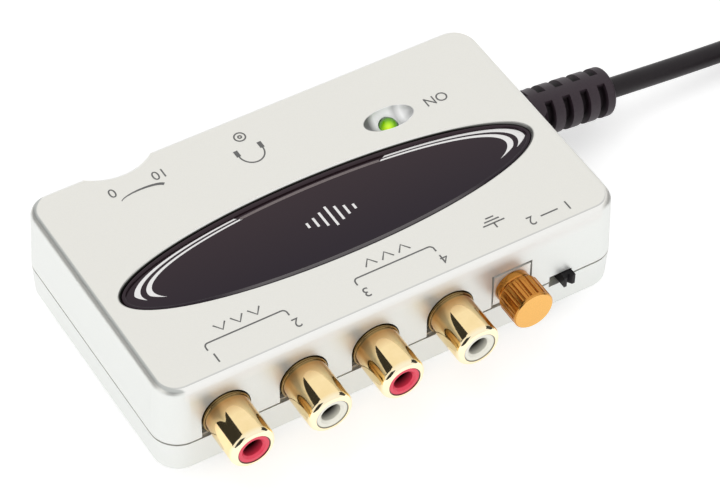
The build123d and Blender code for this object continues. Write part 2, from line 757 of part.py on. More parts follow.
def rca_housing(first_x):
    """The black housing that carries a pair of sockets on the board."""
    half = BLOCK_W / 2
    last_x = first_x + JACK_PITCH
    back = INNER_FRONT + BLOCK_DEEP
    body = block(first_x - half, last_x + half, INNER_FRONT, back, BOARD_TOP, JACK_Z + BLOCK_ABOVE)
    for x in (first_x, last_x):
        body -= rod_y(x, INNER_FRONT, back, JACK_Z, BARREL_BORE_D / 2)
    return body


def ground_plate():
    """The square plate that shows in the cover's opening."""
    half = PLATE_W / 2
    front = FRONT_Y + PLATE_SUNK
    plate = block(
        GROUND_X - half,
        GROUND_X + half,
        front,
        INNER_FRONT,
        SEAM_Z + PLATE_CLEAR,
        JACK_Z + PLATE_ABOVE,
    )
    hole = GROUND_SHANK_D / 2 + GROUND_SHANK_CLEAR
    return plate - rod_y(GROUND_X, front, INNER_FRONT, JACK_Z, hole)


def ground_nut():
    """The threaded block behind the plate, on the board."""
    half = PLATE_W / 2
    back = INNER_FRONT + NUT_DEEP
    nut = block(
        GROUND_X - half, GROUND_X + half, INNER_FRONT, back, BOARD_TOP, JACK_Z + PLATE_ABOVE
    )
    hole = GROUND_SHANK_D / 2 + GROUND_SHANK_CLEAR
    return nut - rod_y(GROUND_X, INNER_FRONT, back, JACK_Z, hole)


def washer_front():
    """The y of the washer's outer face."""
    return FRONT_Y + PLATE_SUNK - GROUND_FACE_GAP - WASHER_T


def ground_washer():
    """A smooth collar on the thumb screw's shank, between its head and the plate."""
    washer = rod_y(GROUND_X, washer_front(), washer_front() + WASHER_T, JACK_Z, WASHER_D / 2)
    washer = fillet(washer.edges().sort_by(Axis.Y)[0], WASHER_EDGE_R)
    hole = GROUND_SHANK_D / 2 + GROUND_SHANK_CLEAR
    return washer - rod_y(GROUND_X, washer_front(), washer_front() + WASHER_T, JACK_Z, hole)


def ground_screw():
    """The fluted thumb screw, with its shank in the threaded block."""
    back = washer_front() - GROUND_FACE_GAP
    face = back - GROUND_HEAD_L
    radius = GROUND_HEAD_D / 2
    head = rod_y(0, face, back, 0, radius)
    head = fillet(head.edges().filter_by(GeomType.CIRCLE).sort_by(Axis.Y)[-1], HEAD_SHOULDER_R)
    head = chamfer(head.edges().filter_by(GeomType.CIRCLE).sort_by(Axis.Y)[0], HEAD_FACE_CHAMFER)
    for i in range(FLUTES):
        turn = math.tau * i / FLUTES
        x = radius * math.cos(turn)
        z = radius * math.sin(turn)
        head -= rod_y(x, face + FLUTE_STOP, back, z, FLUTE_R)
    shank_end = INNER_FRONT + NUT_DEEP - GROUND_SHANK_END
    head += rod_y(0, back, shank_end, 0, GROUND_SHANK_D / 2)
    return Pos(GROUND_X, 0, JACK_Z) * head


def switch_housing():
    """The slide switch's body, with a pocket for the slider's foot."""
    half = SWITCH_BODY_L / 2
    back = INNER_FRONT + SWITCH_BODY_W
    body = block(
        SWITCH_X - half, SWITCH_X + half, INNER_FRONT, back, BOARD_TOP, BOARD_TOP + SWITCH_BODY_H
    )
    room_l = (SLIDER_FOOT_L + SWITCH_TRAVEL) / 2 + SLIDER_CLEAR
    room_h = SLIDER_FOOT_H / 2 + SLIDER_CLEAR
    return body - block(
        SWITCH_X - room_l,
        SWITCH_X + room_l,
        INNER_FRONT,
        INNER_FRONT + SLIDER_FOOT_T + 2 * SLIDER_CLEAR,
        SWITCH_Z - room_h,
        SWITCH_Z + room_h,
    )


def switch_slider():
    """The slider at its +X end: a foot in the housing and a notched thumb piece outside."""
    x = SWITCH_X + SWITCH_TRAVEL / 2
    half = SLIDER_L / 2
    tip = FRONT_Y - SLIDER_OUT
    foot_y = INNER_FRONT + SLIDER_CLEAR
    low = SWITCH_Z - SLIDER_H / 2
    high = SWITCH_Z + SLIDER_H / 2
    thumb = block(x - half, x + half, tip, foot_y, low, high)
    notch = Polyline(
        (x - SLIDER_NOTCH / 2, tip), (x, tip + SLIDER_NOTCH_DEEP), (x + SLIDER_NOTCH / 2, tip), close=True
    )
    thumb -= Pos(0, 0, low) * extrude(make_face(notch), SLIDER_H, dir=(0, 0, 1))
    half_foot = SLIDER_FOOT_L / 2
    foot = block(
        x - half_foot,
        x + half_foot,
        foot_y,
        foot_y + SLIDER_FOOT_T,
        SWITCH_Z - SLIDER_FOOT_H / 2,
        SWITCH_Z + SLIDER_FOOT_H / 2,
    )
    return thumb + foot


def switch_pins():
    """Three solder pins behind the switch."""
    back = INNER_FRONT + SWITCH_BODY_W
    half = SWITCH_PIN_W / 2
    pins = []
    for step in (-1, 0, 1):
        x = SWITCH_X + step * SWITCH_PIN_PITCH
        pins.append(block(x - half, x + half, back, back + SWITCH_PIN_W, BOARD_TOP, SWITCH_Z))
    return group(pins)


def headphone_body():
    """The headphone socket's housing on the board."""
    half = PHONES_BODY_W / 2
    front = INNER_BACK - PHONES_BODY_L
    body = block(
        PHONES_X - half,
        PHONES_X + half,
        front,
        INNER_BACK,
        BOARD_TOP,
        BOARD_TOP + PHONES_BODY_H,
    )
    return body - rod_y(
        PHONES_X, BACK_Y - PHONES_BORE_L, INNER_BACK, PHONES_Z, PHONES_BORE_D / 2
    )


def headphone_bush():
    """The metal bush of the headphone socket in the back wall."""
    end = BACK_Y - PHONES_BUSH_SUNK
    bush = rod_y(PHONES_X, INNER_BACK, end, PHONES_Z, PHONES_BUSH_D / 2)
    bush -= rod_y(PHONES_X, INNER_BACK, end, PHONES_Z, PHONES_BORE_D / 2)
    mouth = bush.edges().filter_by(GeomType.CIRCLE).group_by(Axis.Y)[-1].sort_by(SortBy.RADIUS)[0]
    return chamfer(mouth, PHONES_BUSH_CHAMFER)


def headphone_contacts():
    """Contact tabs on both sides of the headphone socket, bent out onto the board."""
    middle = INNER_BACK - PHONES_BODY_L / 2
    tabs = []
    for side in (-1, 1):
        wall = PHONES_X + side * PHONES_BODY_W / 2
        out = wall + side * PHONES_PIN_T
        toe = wall + side * PHONES_PIN_FOOT
        for i in range(PHONES_PINS):
            y = middle + (i - (PHONES_PINS - 1) / 2) * PHONES_PIN_PITCH
            y0 = y - PHONES_PIN_W / 2
            y1 = y + PHONES_PIN_W / 2
            tab = block(min(wall, out), max(wall, out), y0, y1, BOARD_TOP, PHONES_Z)
            foot_top = BOARD_TOP + PHONES_PIN_T
            tab += block(min(wall, toe), max(wall, toe), y0, y1, BOARD_TOP, foot_top)
            tabs.append(tab)
    return group(tabs)


def volume_control():
    """The volume control's body on the board, with a bearing hole for its shaft."""
    half = POT_W / 2
    body = block(
        WHEEL_X - half, WHEEL_X + half, WHEEL_Y - half, WHEEL_Y + half, BOARD_TOP, BOARD_TOP + POT_H
    )
    hole = POT_SHAFT_D / 2 + POT_SHAFT_CLEAR
    return body - rod_z(WHEEL_X, WHEEL_Y, BOARD_TOP, BOARD_TOP + POT_H, hole)


def volume_pins():
    """Solder pins on the inner side of the volume control."""
    y = WHEEL_Y - POT_W / 2
    half = POT_PIN_W / 2
    pins = []
    for i in range(POT_PINS):
        x = WHEEL_X + (i - (POT_PINS - 1) / 2) * POT_PIN_PITCH
        pin = block(x - half, x + half, y - POT_PIN_T, y, BOARD_TOP, BOARD_TOP + POT_H / 2)
        pin += block(x - half, x + half, y - POT_PIN_W, y, BOARD_TOP, BOARD_TOP + POT_PIN_T)
        pins.append(pin)
    return group(pins)


def volume_shaft():
    """The shaft that turns in the volume control and carries the wheel."""
    foot = BOARD_TOP + POT_SHAFT_CLEAR
    top = WHEEL_Z + WHEEL_T
    shaft = rod_z(WHEEL_X, WHEEL_Y, foot, top, POT_SHAFT_D / 2)
    return shaft - rod_z(WHEEL_X, WHEEL_Y, top - POT_SCREW_L, top, POT_SCREW_D / 2 + THREAD_CLEAR)


def volume_wheel():
    """The ribbed thumb wheel."""
    radius = WHEEL_D / 2
    wheel = Cylinder(radius, WHEEL_T, align=BOTTOM)
    wheel = chamfer(wheel.edges().filter_by(GeomType.CIRCLE), WHEEL_EDGE_CHAMFER)
    grooves = []
    for i in range(WHEEL_RIBS):
        turn = math.tau * i / WHEEL_RIBS
        grooves.append(rod_z(radius * math.cos(turn), radius * math.sin(turn), 0, WHEEL_T, WHEEL_RIB_R))
    wheel = wheel - grooves
    wheel -= Cylinder(POT_SHAFT_D / 2 + THREAD_CLEAR, WHEEL_T, align=BOTTOM)
    return Pos(WHEEL_X, WHEEL_Y, WHEEL_Z) * wheel


def volume_screw():
    """The screw that holds the wheel on its shaft."""
    one = screw(POT_SCREW_D, POT_SCREW_L, POT_SCREW_HEAD_D, POT_SCREW_HEAD_H)
    top = WHEEL_Z + WHEEL_T + POT_SCREW_HEAD_H
    return Pos(WHEEL_X, WHEEL_Y, top) * Rot(180, 0, 0) * one


def relief_frame():
    """The place of the strain relief's boot: its Z axis runs out along the drooping boot."""
    root = Pos(RIGHT_X + RELIEF_STANDOFF, RELIEF_Y, SEAM_Z)
    return root * Rot(0, 90 + RELIEF_DROOP, 0)


def relief_slot():
    """Two side slots round the boot's core, parted by a web above and below."""
    web = Rot(0, 0, RELIEF_WEB_TURN) * Rectangle(2 * RELIEF_D, RELIEF_WEB)
    slot = Circle(RELIEF_D) - Circle(RELIEF_CORE_D / 2) - web
    return extrude(slot, RELIEF_SLOT)


def usb_strain_relief():
    """The ribbed rubber boot, its neck in the case wall and its flange inside."""
    boot = Cylinder(RELIEF_D / 2, RELIEF_L, align=BOTTOM)
    boot = fillet(boot.edges().filter_by(GeomType.CIRCLE), RELIEF_EDGE_R)
    for i in range(RELIEF_SLOTS):
        start = RELIEF_L - RELIEF_COLLAR - RELIEF_SLOT - i * RELIEF_SLOT_PITCH
        boot -= Pos(0, 0, start) * relief_slot()
    y = RELIEF_Y
    neck_end = RIGHT_X + RELIEF_STANDOFF + RELIEF_EDGE_R
    neck = rod_x(INNER_RIGHT, neck_end, y, SEAM_Z, RELIEF_NECK_D / 2)
    flange = rod_x(INNER_RIGHT - RELIEF_FLANGE_T, INNER_RIGHT, y, SEAM_Z, RELIEF_FLANGE_D / 2)
    return relief_frame() * boot + neck + flange


def usb_header():
    """The connector on the board where the lead's wires end."""
    x1 = RIGHT_X - HEADER_FROM_END
    y = RELIEF_Y
    half = HEADER_W / 2
    body = block(x1 - HEADER_L, x1, y - half, y + half, BOARD_TOP, BOARD_TOP + HEADER_H)
    lid = body.faces().sort_by(Axis.Z)[-1]
    return chamfer(lid.edges().filter_by(Axis.Y), HEADER_H / 8)


def usb_wires():
    """The lead's four wires inside the case."""
    x0 = RIGHT_X - HEADER_FROM_END
    x1 = INNER_RIGHT - RELIEF_FLANGE_T
    y = RELIEF_Y
    offsets = [(i - (WIRES - 1) / 2) * WIRE_PITCH for i in range(WIRES)]
    return group(rod_x(x0, x1, y + step, SEAM_Z, WIRE_D / 2) for step in offsets)


def cable_points():
    """The free stretch: out of the boot along its droop, then down to the coil's lower layer."""
    frame = relief_frame()
    start = (frame * Pos(0, 0, RELIEF_L)).position
    bend = (frame * Pos(0, 0, RELIEF_L + CABLE_FIRST_RUN)).position
    rest = CABLE_DROP + [(CABLE_LANDING, coil_level()), (CABLE_COIL_START, coil_level())]
    return [start, bend] + [Vector(RIGHT_X + out, RELIEF_Y, z) for out, z in rest]


def route_radii(points):
    """For each corner, the largest arc that both its runs leave room for."""
    radii = []
    for before, corner, after in zip(points, points[1:], points[2:]):
        turn = (corner - before).get_angle(after - corner)
        shorter = min((corner - before).length, (after - corner).length)
        radii.append(ARC_SHARE * shorter / math.tan(math.radians(turn) / 2))
    return radii


def tube_along(path):
    """The cable's round section swept along a path."""
    return sweep(Plane(path @ 0, z_dir=path % 0) * Circle(CABLE_D / 2), path=path)


def usb_cable():
    """The free stretch of the lead, from the boot to the coil."""
    points = cable_points()
    radii = route_radii(points)
    path = FilletPolyline(*points, radius=radii)
    tube = tube_along(path)
    section = math.pi * CABLE_D**2 / 4
    print("free stretch radii", [round(r) for r in radii], "length", round(path.length, 1))
    print("free stretch volume against section times length", round(tube.volume / section / path.length, 4))
    return tube


def ease(share):
    """A smooth step from 0 to 1."""
    share = min(max(share, 0.0), 1.0)
    return share * share * (3 - 2 * share)


def coil_level():
    """The height of the coil's lower layer, on the tie."""
    return TIE_T + TIE_GAP + CABLE_D / 2


def plug_level():
    """The height of the plug's middle, lying on the upper layer."""
    return coil_level() + COIL_PITCH + CABLE_D / 2 + PLUG_LIFT + PLUG_T / 2


def coil_middle():
    """The plan place of the coil's middle: one diameter past the end of the free stretch."""
    return RIGHT_X + CABLE_COIL_START + CABLE_D, RELIEF_Y - COIL_OUT_R


def coil_turnback():
    """The turns wound when the spiral stops winding in and starts winding out."""
    return COIL_TURNS + COIL_CLIMB / 2


def coil_point(turns):
    """A point of the winding: in along the lower layer, up, out along the upper, up onto the plug."""
    x, y = coil_middle()
    back = coil_turnback()
    end = 2 * back
    climbed = COIL_PITCH * ease((turns - COIL_TURNS) / COIL_CLIMB)
    lift_l = math.tau * COIL_OUT_R * COIL_LIFT
    tail_l = math.pi / 2 * COIL_TAIL_R
    along = math.tau * COIL_OUT_R * (min(turns, end) - end + COIL_LIFT)
    along += math.tau * COIL_TAIL_R * max(turns - end, 0)
    lifted = (plug_level() - coil_level() - COIL_PITCH) * ease(along / (lift_l + tail_l))
    z = coil_level() + climbed + lifted
    turn = math.tau * turns
    if turns > end:
        radius = COIL_TAIL_R
        y += COIL_OUT_R - COIL_TAIL_R
    else:
        radius = COIL_OUT_R - COIL_PITCH * (back - abs(turns - back))
    return Vector(x + radius * math.sin(turn), y + radius * math.cos(turn), z)


def biarc(start, leaving, end, arriving):
    """Two arcs that meet smoothly, from a point and direction to another."""
    gap = end - start
    both = leaving + arriving
    spread = 2 * (1 - leaving.dot(arriving))
    along = gap.dot(both)
    reach = (math.sqrt(along**2 + spread * gap.dot(gap)) - along) / spread
    middle = (start + leaving * reach + end - arriving * reach) / 2
    joint = (end - arriving * reach - start - leaving * reach).normalized()
    return [TangentArc(start, middle, tangent=leaving), TangentArc(middle, end, tangent=joint)]


def coil_path():
    """The winding as quarter-turn biarcs, with straight ends one cable diameter long."""
    quarter = 0.25
    nudge = 0.02
    stops = [quarter * i for i in range(round(2 * coil_turnback() / quarter) + 2)]
    points = [coil_point(stop) for stop in stops]
    ways = [(coil_point(stop + nudge) - coil_point(stop - nudge)).normalized() for stop in stops]
    ways[0] = Vector(1, 0, 0)
    ways[-1] = Vector(0, -1, 0)
    edges = [Line(points[0] - ways[0] * CABLE_D, points[0])]
    for i in range(len(stops) - 1):
        edges += biarc(points[i], ways[i], points[i + 1], ways[i + 1])
    edges.append(Line(points[-1], points[-1] + ways[-1] * CABLE_D))
    return Wire(edges)


def least_gap(path, step):
    """The least clear gap between turns, measured on points along the path."""
    count = round(path.length / step)
    points = [path.position_at(i / count) for i in range(count + 1)]
    apart = round(math.pi * COIL_TAIL_R / step)
    least = min(
        (points[i] - points[j]).length for i in range(count) for j in range(i + apart, count + 1)
    )
    return least - CABLE_D


def usb_cable_coil():
    """The rest of the lead, wound in one unbroken tube."""
    path = coil_path()
    coil = tube_along(path)
    section = math.pi * CABLE_D**2 / 4
    print("coil length", round(path.length, 1), "least gap", round(least_gap(path, 1.5), 2))
    print("coil volume against section times length", round(coil.volume / section / path.length, 4))
    return coil


def cable_tie():
    """A strap round the bundle of turns, on the side of the coil that faces the case."""
    x, y = coil_middle()
    inner = COIL_OUT_R - COIL_PITCH * coil_turnback() - CABLE_D / 2 - TIE_SIDE_GAP
    outer = COIL_OUT_R + CABLE_D / 2 + TIE_SIDE_GAP
    top = coil_level() + COIL_PITCH + CABLE_D / 2 + TIE_GAP
    half = TIE_W / 2
    strap = block(
        x - outer - TIE_T, x - inner + TIE_T, y - half, y + half, 0, top + TIE_T
    )
    strap = fillet(strap.edges().filter_by(Axis.Y), TIE_T)
    return strap - block(x - outer, x - inner, y - half, y + half, TIE_T, top)


def plug_frame():
    """The plug's place: its Z axis runs out of the plug, and its Y axis is up."""
    x, y = coil_middle()
    start_y = y + COIL_OUT_R - COIL_TAIL_R - CABLE_D
    return Pos(x + COIL_TAIL_R, start_y, plug_level()) * Rot(90, 0, 0)


def usb_plug_overmould():
    """The plug's grip, with a tapered tail round the cable's end."""
    grip = Pos(0, 0, PLUG_TAIL_L) * Box(PLUG_W, PLUG_T, PLUG_L, align=BOTTOM)
    grip = fillet(grip.edges().filter_by(Axis.Z), PLUG_EDGE_R)
    back = grip.faces().sort_by(Axis.Z)[0]
    grip = fillet(back.edges(), PLUG_EDGE_R / 2)
    tail = Cone(PLUG_TAIL_END_D / 2, PLUG_TAIL_D / 2, PLUG_TAIL_L, align=BOTTOM)
    return plug_frame() * (grip + tail)


def usb_plug_shell():
    """The plug's metal shell, with its latch windows."""
    hollow_w = USB_SHELL_W - 2 * USB_SHELL_T
    hollow_h = USB_SHELL_H - 2 * USB_SHELL_T
    tube = Box(USB_SHELL_W, USB_SHELL_H, USB_SHELL_L, align=BOTTOM)
    tube -= Box(hollow_w, hollow_h, USB_SHELL_L, align=BOTTOM)
    window = Box(USB_WINDOW_W, 2 * USB_SHELL_H, USB_WINDOW_L, align=BOTTOM)
    for side in (-1, 1):
        tube -= Pos(side * USB_SHELL_W / 4, 0, USB_WINDOW_BACK) * window
    return plug_frame() * Pos(0, 0, PLUG_TAIL_L + PLUG_L) * tube


def usb_plug_tongue():
    """The insulating tongue inside the plug's shell."""
    width = USB_SHELL_W - 2 * USB_SHELL_T - 2 * USB_TONGUE_CLEAR
    low = -USB_SHELL_H / 2 + USB_SHELL_T + USB_TONGUE_CLEAR
    length = USB_SHELL_L - USB_TONGUE_BACK
    tongue = Pos(0, low + USB_TONGUE_T / 2, 0) * Box(width, USB_TONGUE_T, length, align=BOTTOM)
    return plug_frame() * Pos(0, 0, PLUG_TAIL_L + PLUG_L) * tongue


def usb_plug_contacts():
    """Four contact strips on the tongue."""
    y = -USB_SHELL_H / 2 + USB_SHELL_T + USB_TONGUE_CLEAR + USB_TONGUE_T + USB_PAD_T / 2
    strip = Box(USB_PAD_W, USB_PAD_T, USB_PAD_L, align=BOTTOM)
    place = plug_frame() * Pos(0, y, PLUG_TAIL_L + PLUG_L)
    offsets = [(i - (USB_PADS - 1) / 2) * USB_PAD_PITCH for i in range(USB_PADS)]
    return group(place * Pos(step, 0, 0) * strip for step in offsets)


def all_parts():
    """Every node of the object by name."""
    parts = {
        "top_cover": top_cover(),
        "bottom_shell": bottom_shell(),
        "badge_plate": badge_plate(),
        "rubber_feet": rubber_feet(),
        "case_screws": case_screws(),
        "main_board": main_board(),
        "board_screws": board_screws(),
        "codec_chip": codec_chip(),
        "amplifier_chip": amplifier_chip(),
        "voltage_regulator": voltage_regulator(),
        "crystal": crystal(),
        "capacitor_cans": capacitor_cans(),
        "lamp_lens": lamp_lens(),
        "lamp_leads": lamp_leads(),
        "rca_housing_output": rca_housing(JACK_XS[0]),
        "rca_housing_input": rca_housing(JACK_XS[2]),
        "ground_plate": ground_plate(),
        "ground_nut": ground_nut(),
        "ground_washer": ground_washer(),
        "ground_screw": ground_screw(),
        "switch_housing": switch_housing(),
        "switch_slider": switch_slider(),
        "switch_pins": switch_pins(),
        "headphone_body": headphone_body(),
        "headphone_bush": headphone_bush(),
        "headphone_contacts": headphone_contacts(),
        "volume_control": volume_control(),
        "volume_pins": volume_pins(),
        "volume_shaft": volume_shaft(),
        "volume_wheel": volume_wheel(),
        "volume_screw": volume_screw(),
        "usb_header": usb_header(),
        "usb_wires": usb_wires(),
        "usb_strain_relief": usb_strain_relief(),
        "usb_cable": usb_cable(),
        "usb_cable_coil": usb_cable_coil(),
        "cable_tie": cable_tie(),
        "usb_plug_overmould": usb_plug_overmould(),
        "usb_plug_shell": usb_plug_shell(),
        "usb_plug_tongue": usb_plug_tongue(),
        "usb_plug_contacts": usb_plug_contacts(),
    }
    for number, x in enumerate(JACK_XS, 1):
        parts[f"rca_barrel_{number}"] = rca_barrel(x)
        parts[f"rca_insulator_{number}"] = rca_insulator(x)
        parts[f"rca_contact_{number}"] = rca_contact(x)
    return parts


os.makedirs("parts", exist_ok=True)
for node, shape in all_parts().items():
    export_step(shape, f"parts/{node}.step")
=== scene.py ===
"""Looks of a small USB audio interface on a pale studio floor, seen as in its photograph."""
import json
import math

import bpy
from mathutils import Matrix, Vector


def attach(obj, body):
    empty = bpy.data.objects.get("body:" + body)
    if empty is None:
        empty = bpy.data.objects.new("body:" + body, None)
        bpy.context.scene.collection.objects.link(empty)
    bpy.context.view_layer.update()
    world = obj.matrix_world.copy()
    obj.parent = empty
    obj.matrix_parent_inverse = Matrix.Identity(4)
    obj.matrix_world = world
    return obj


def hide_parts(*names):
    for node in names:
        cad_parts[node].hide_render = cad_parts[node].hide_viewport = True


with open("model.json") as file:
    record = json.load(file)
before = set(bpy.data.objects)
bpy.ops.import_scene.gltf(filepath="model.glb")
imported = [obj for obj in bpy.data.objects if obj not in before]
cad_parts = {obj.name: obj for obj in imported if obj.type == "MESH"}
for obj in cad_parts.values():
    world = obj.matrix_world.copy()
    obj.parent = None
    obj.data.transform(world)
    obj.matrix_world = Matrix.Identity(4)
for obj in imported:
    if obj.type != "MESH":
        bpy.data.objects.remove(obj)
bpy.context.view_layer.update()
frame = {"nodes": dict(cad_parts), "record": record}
nodes = frame["nodes"]
scene = bpy.context.scene

MM = 0.001

# Camera, in millimetres, degrees and pixels of the photograph
IMAGE_W = 720
FOCAL_PX = 3076
SENSOR_MM = 36.0
CAMERA_PLACE = (-184.05, -300.11, 395.94)
CAMERA_AZIMUTH = -32.20
CAMERA_ELEVATION = 47.34
CAMERA_ROLL = -1.52
CAMERA_CLIP = 10

# Boot of the USB lead, in millimetres, with its droop in degrees
RELIEF_ROOT = (44.95, 14.9, 9.6)
RELIEF_L = 20.4
RELIEF_R = 4.6
RELIEF_DROOP = 7.0
RELIEF_END_X = (65.4, 66.0)

# USB lead, in millimetres: its route, then its coil, whose turns, climb, lift and tail are in turns
CABLE_D = 3.9
CABLE_FIRST_RUN = 12.0
CABLE_ROUTE = [(91.3, 4.2), (103.3, 3.3), (111.3, 2.95)]
COIL_START_X = 118.3
COIL_LEVEL = 2.95
COIL_OUT_R = 27.2
COIL_PITCH = 4.45
COIL_TURNS = 3.25
COIL_CLIMB = 0.5
COIL_LIFT = 0.25
COIL_TAIL = 0.25
COIL_TAIL_R = 14.0
COIL_STEPS = 16
PLUG_LEVEL = 13.35

# Places on the cover, in millimetres
COVER_TOP = 22.0
INK_LIFT = 0.02
LAMP = (20.0, 15.8)
LAMP_GLOW = (19.2, 14.4)
LENS_R = 1.7
DIMPLE = (4.7, 2.5, 2.0)
BADGE = (0.0, 1.45)
BADGE_SIZE = (79.2, 18.6)
BADGE_RIM = (0.6, 0.17)
BADGE_FACE = 21.2
BEAD_LINE_Z = (21.55, 21.61)

# Stretches from front to back along the sockets and behind the front wall, in millimetres
SLEEVE_LIP_Y = (-29.7, -28.9)
SLEEVE_ROOT_Y = (-25.0, -22.0)
FLANGE_Y = (-21.7, -21.5)
SLIDER_FOOT_Y = (-19.1, -18.9)
HOUSING_FRONT_Y = (-17.0, -16.5)

# Rounded edges of the case, in millimetres: heights of the painted highlight and the end of the left edge's
# painted dark reflection
HIGHLIGHT_Z = (18.6, 20.6)
LEFT_LINE_X = (-39.5, -38.0)

# Ways that surfaces face: up (0 to 1), from left (0) to right (1), and from front (-1) to back (1)
HIGHLIGHT_RISE = [(0.95, 1.0), (0.965, 0.0)]
CREASE_RISE = [(0.955, 0.0), (0.965, 1.0), (0.99, 1.0), (0.997, 0.0)]
LEFT_RISE = (0.55, 0.70)
PAINT_RISE = (0.3, 0.9)
STRAIGHT_SIDE = [(0.40, 0.0), (0.45, 1.0), (0.55, 1.0), (0.60, 0.0)]
LEFT_SIDE = [(0.20, 0.0), (0.28, 1.0), (0.42, 1.0), (0.46, 0.0)]
FRONT_FACING = (-0.08, -0.02)
TURNED_FACING = (-0.95, -0.6)

# Shares of a size: the bowl's painted shade and highlights from left to right, its edge, the badge's rim
# with its painted shade, and the holes' depths for their painted shade
BOWL_SHADES = [
    (0.0, 0.15),
    (0.15, 0.22),
    (0.30, 0.95),
    (0.62, 1.0),
    (0.72, 0.60),
    (0.83, 0.95),
    (1.0, 0.45),
]
BOWL_EDGE = (1.01, 1.05)
RIM_EDGE = (0.99, 1.0)
RIM_END = (0.35, 0.5)
BEAD_FRONT = (0.08, 0.15)
RIB_EDGE = (0.80, 0.90)
GLOW_REACH = 1.9
HOLE_DEPTHS = [(0.0, 1.0), (0.02, 1.0), (0.05, 0.7), (0.08, 0.3), (0.11, 0.01)]
INSULATOR_EDGE = (0.93, 0.97)
ANY_LENGTH = 1000.0

# Metal in the case's paint, on its edges with the painted highlight and in the bowl, and roughness of its
# walls and top
CASE_METAL = 0.66
EDGE_METAL = 0.1
BOWL_METAL = 0.3
WALL_ROUGH = 0.40
TOP_ROUGH = 0.38

# Grain of broad wear and of the tie's weave, in millimetres, and steps of detail in a noise
WEAR_GRAIN = 6.0
WEAVE_GRAIN = 1.2
NOISE_DETAIL = 3.0

# Printed marks, in millimetres
STROKE = 0.28
FIGURE_H = 2.9
SOCKET_BRACKETS = {"output": (-32.7, -17.6), "input": (-4.65, 10.5)}
BRACKET_Y = -13.35
BRACKET_LEG = 1.45
BRACKET_R = 0.75
FIGURE_Y = -16.7
FIGURE_SHIFTS = (0.5, 0.3)
ARROW_Y = -11.3
ARROW_HALF = (1.1, 0.75)
ARROW_PITCH = 3.2
LAMP_MARK = (29.5, 15.8)

# Ground sign: its middle, each bar's place and half length, and the ends of its stem, in millimetres
GROUND_MARK = (22.25, -13.8)
GROUND_BARS = [(-0.35, 2.1), (0.35, 1.45), (1.05, 0.8)]
GROUND_STEM = (-0.35, -1.55)

# Switch mark: its middle, half its dash and the way to its figures, in millimetres
SWITCH_MARK = (31.6, -16.8)
SWITCH_DASH = 1.7
SWITCH_FIGURE = 3.6

# Headphone mark: its middle, the band's half-axes, a cup's length and width, and the socket, in millimetres
PHONES_MARK = (-4.6, 20.5)
PHONES_BAND = (2.3, 2.5)
PHONES_CUP = (1.5, 0.8)
JACK_MARK = (-4.5, 24.6)
JACK_RINGS = (1.0, 0.3)

# Volume mark, in millimetres and degrees: its arc, the arc's two ends and widths, and its figures
VOLUME_ARC = (-25.0, 21.1)
VOLUME_REACH = (4.1, 1.1)
VOLUME_ENDS = (170, 10)
VOLUME_WIDTHS = (0.12, 0.62)
VOLUME_FIGURES = {"0": (-29.6, 23.8), "10": (-20.6, 23.8)}

# White trim on the badge: half-axes of each band's outer and inner edge, in millimetres
TRIM_RIGHT = [((38.50, 8.25), (37.00, 7.93)), ((36.00, 7.70), (34.80, 7.38))]
TRIM_LEFT = [((37.10, 8.22), (36.00, 7.92)), ((34.90, 7.62), (33.90, 7.33))]
TRIM_TIPS = {"right": (-15.0, -24.0), "left": (-9.0, -17.0)}
TRIM_END = 67.0
TRIM_TAPER = 12.0
TRIM_STEPS = 48
BACK_LINE = (7.90, 7.35)

# Level bars on the badge, in millimetres
BAR_HEIGHTS = [1.2, 2.2, 3.4, 4.8, 3.4, 2.2, 1.2]
BAR_PITCH = 1.5
BAR_W = 0.45

# Stage, in metres, with strengths of the light that the floor and the surround give
FLOOR_HALF = 4.0
FLOOR_DROP = 0.0002
FLOOR_GLOW = 0.42
SURROUND_FILL = 0.68
SURROUND_GLOW = 0.32
FLAG_AWAY = 0.6


def mm(*values):
    """A point in metres from millimetres."""
    return Vector(values) * MM


# Camera


def place_camera():
    """A camera at the photograph's viewpoint, with its focal length in pixels."""
    azimuth = math.radians(CAMERA_AZIMUTH)
    elevation = math.radians(CAMERA_ELEVATION)
    roll = math.radians(CAMERA_ROLL)
    back = Vector((
        math.sin(azimuth) * math.cos(elevation),
        -math.cos(azimuth) * math.cos(elevation),
        math.sin(elevation),
    ))
    right = Vector((0, 0, 1)).cross(back).normalized()
    up = back.cross(right)
    across = right * math.cos(roll) - up * math.sin(roll)
    upward = right * math.sin(roll) + up * math.cos(roll)
    turn = Matrix((across, upward, back)).transposed().to_4x4()
    data = bpy.data.cameras.new("camera")
    data.sensor_width = SENSOR_MM
    data.lens = FOCAL_PX / IMAGE_W * SENSOR_MM
    data.clip_start = CAMERA_CLIP * MM
    camera = bpy.data.objects.new("camera", data)
    camera.matrix_world = Matrix.Translation(mm(*CAMERA_PLACE)) @ turn
    scene.collection.objects.link(camera)
    scene.camera = camera


place_camera()

# USB lead


def ease(share):
    """A smooth step from 0 to 1."""
    share = min(max(share, 0.0), 1.0)
    return share * share * (3 - 2 * share)


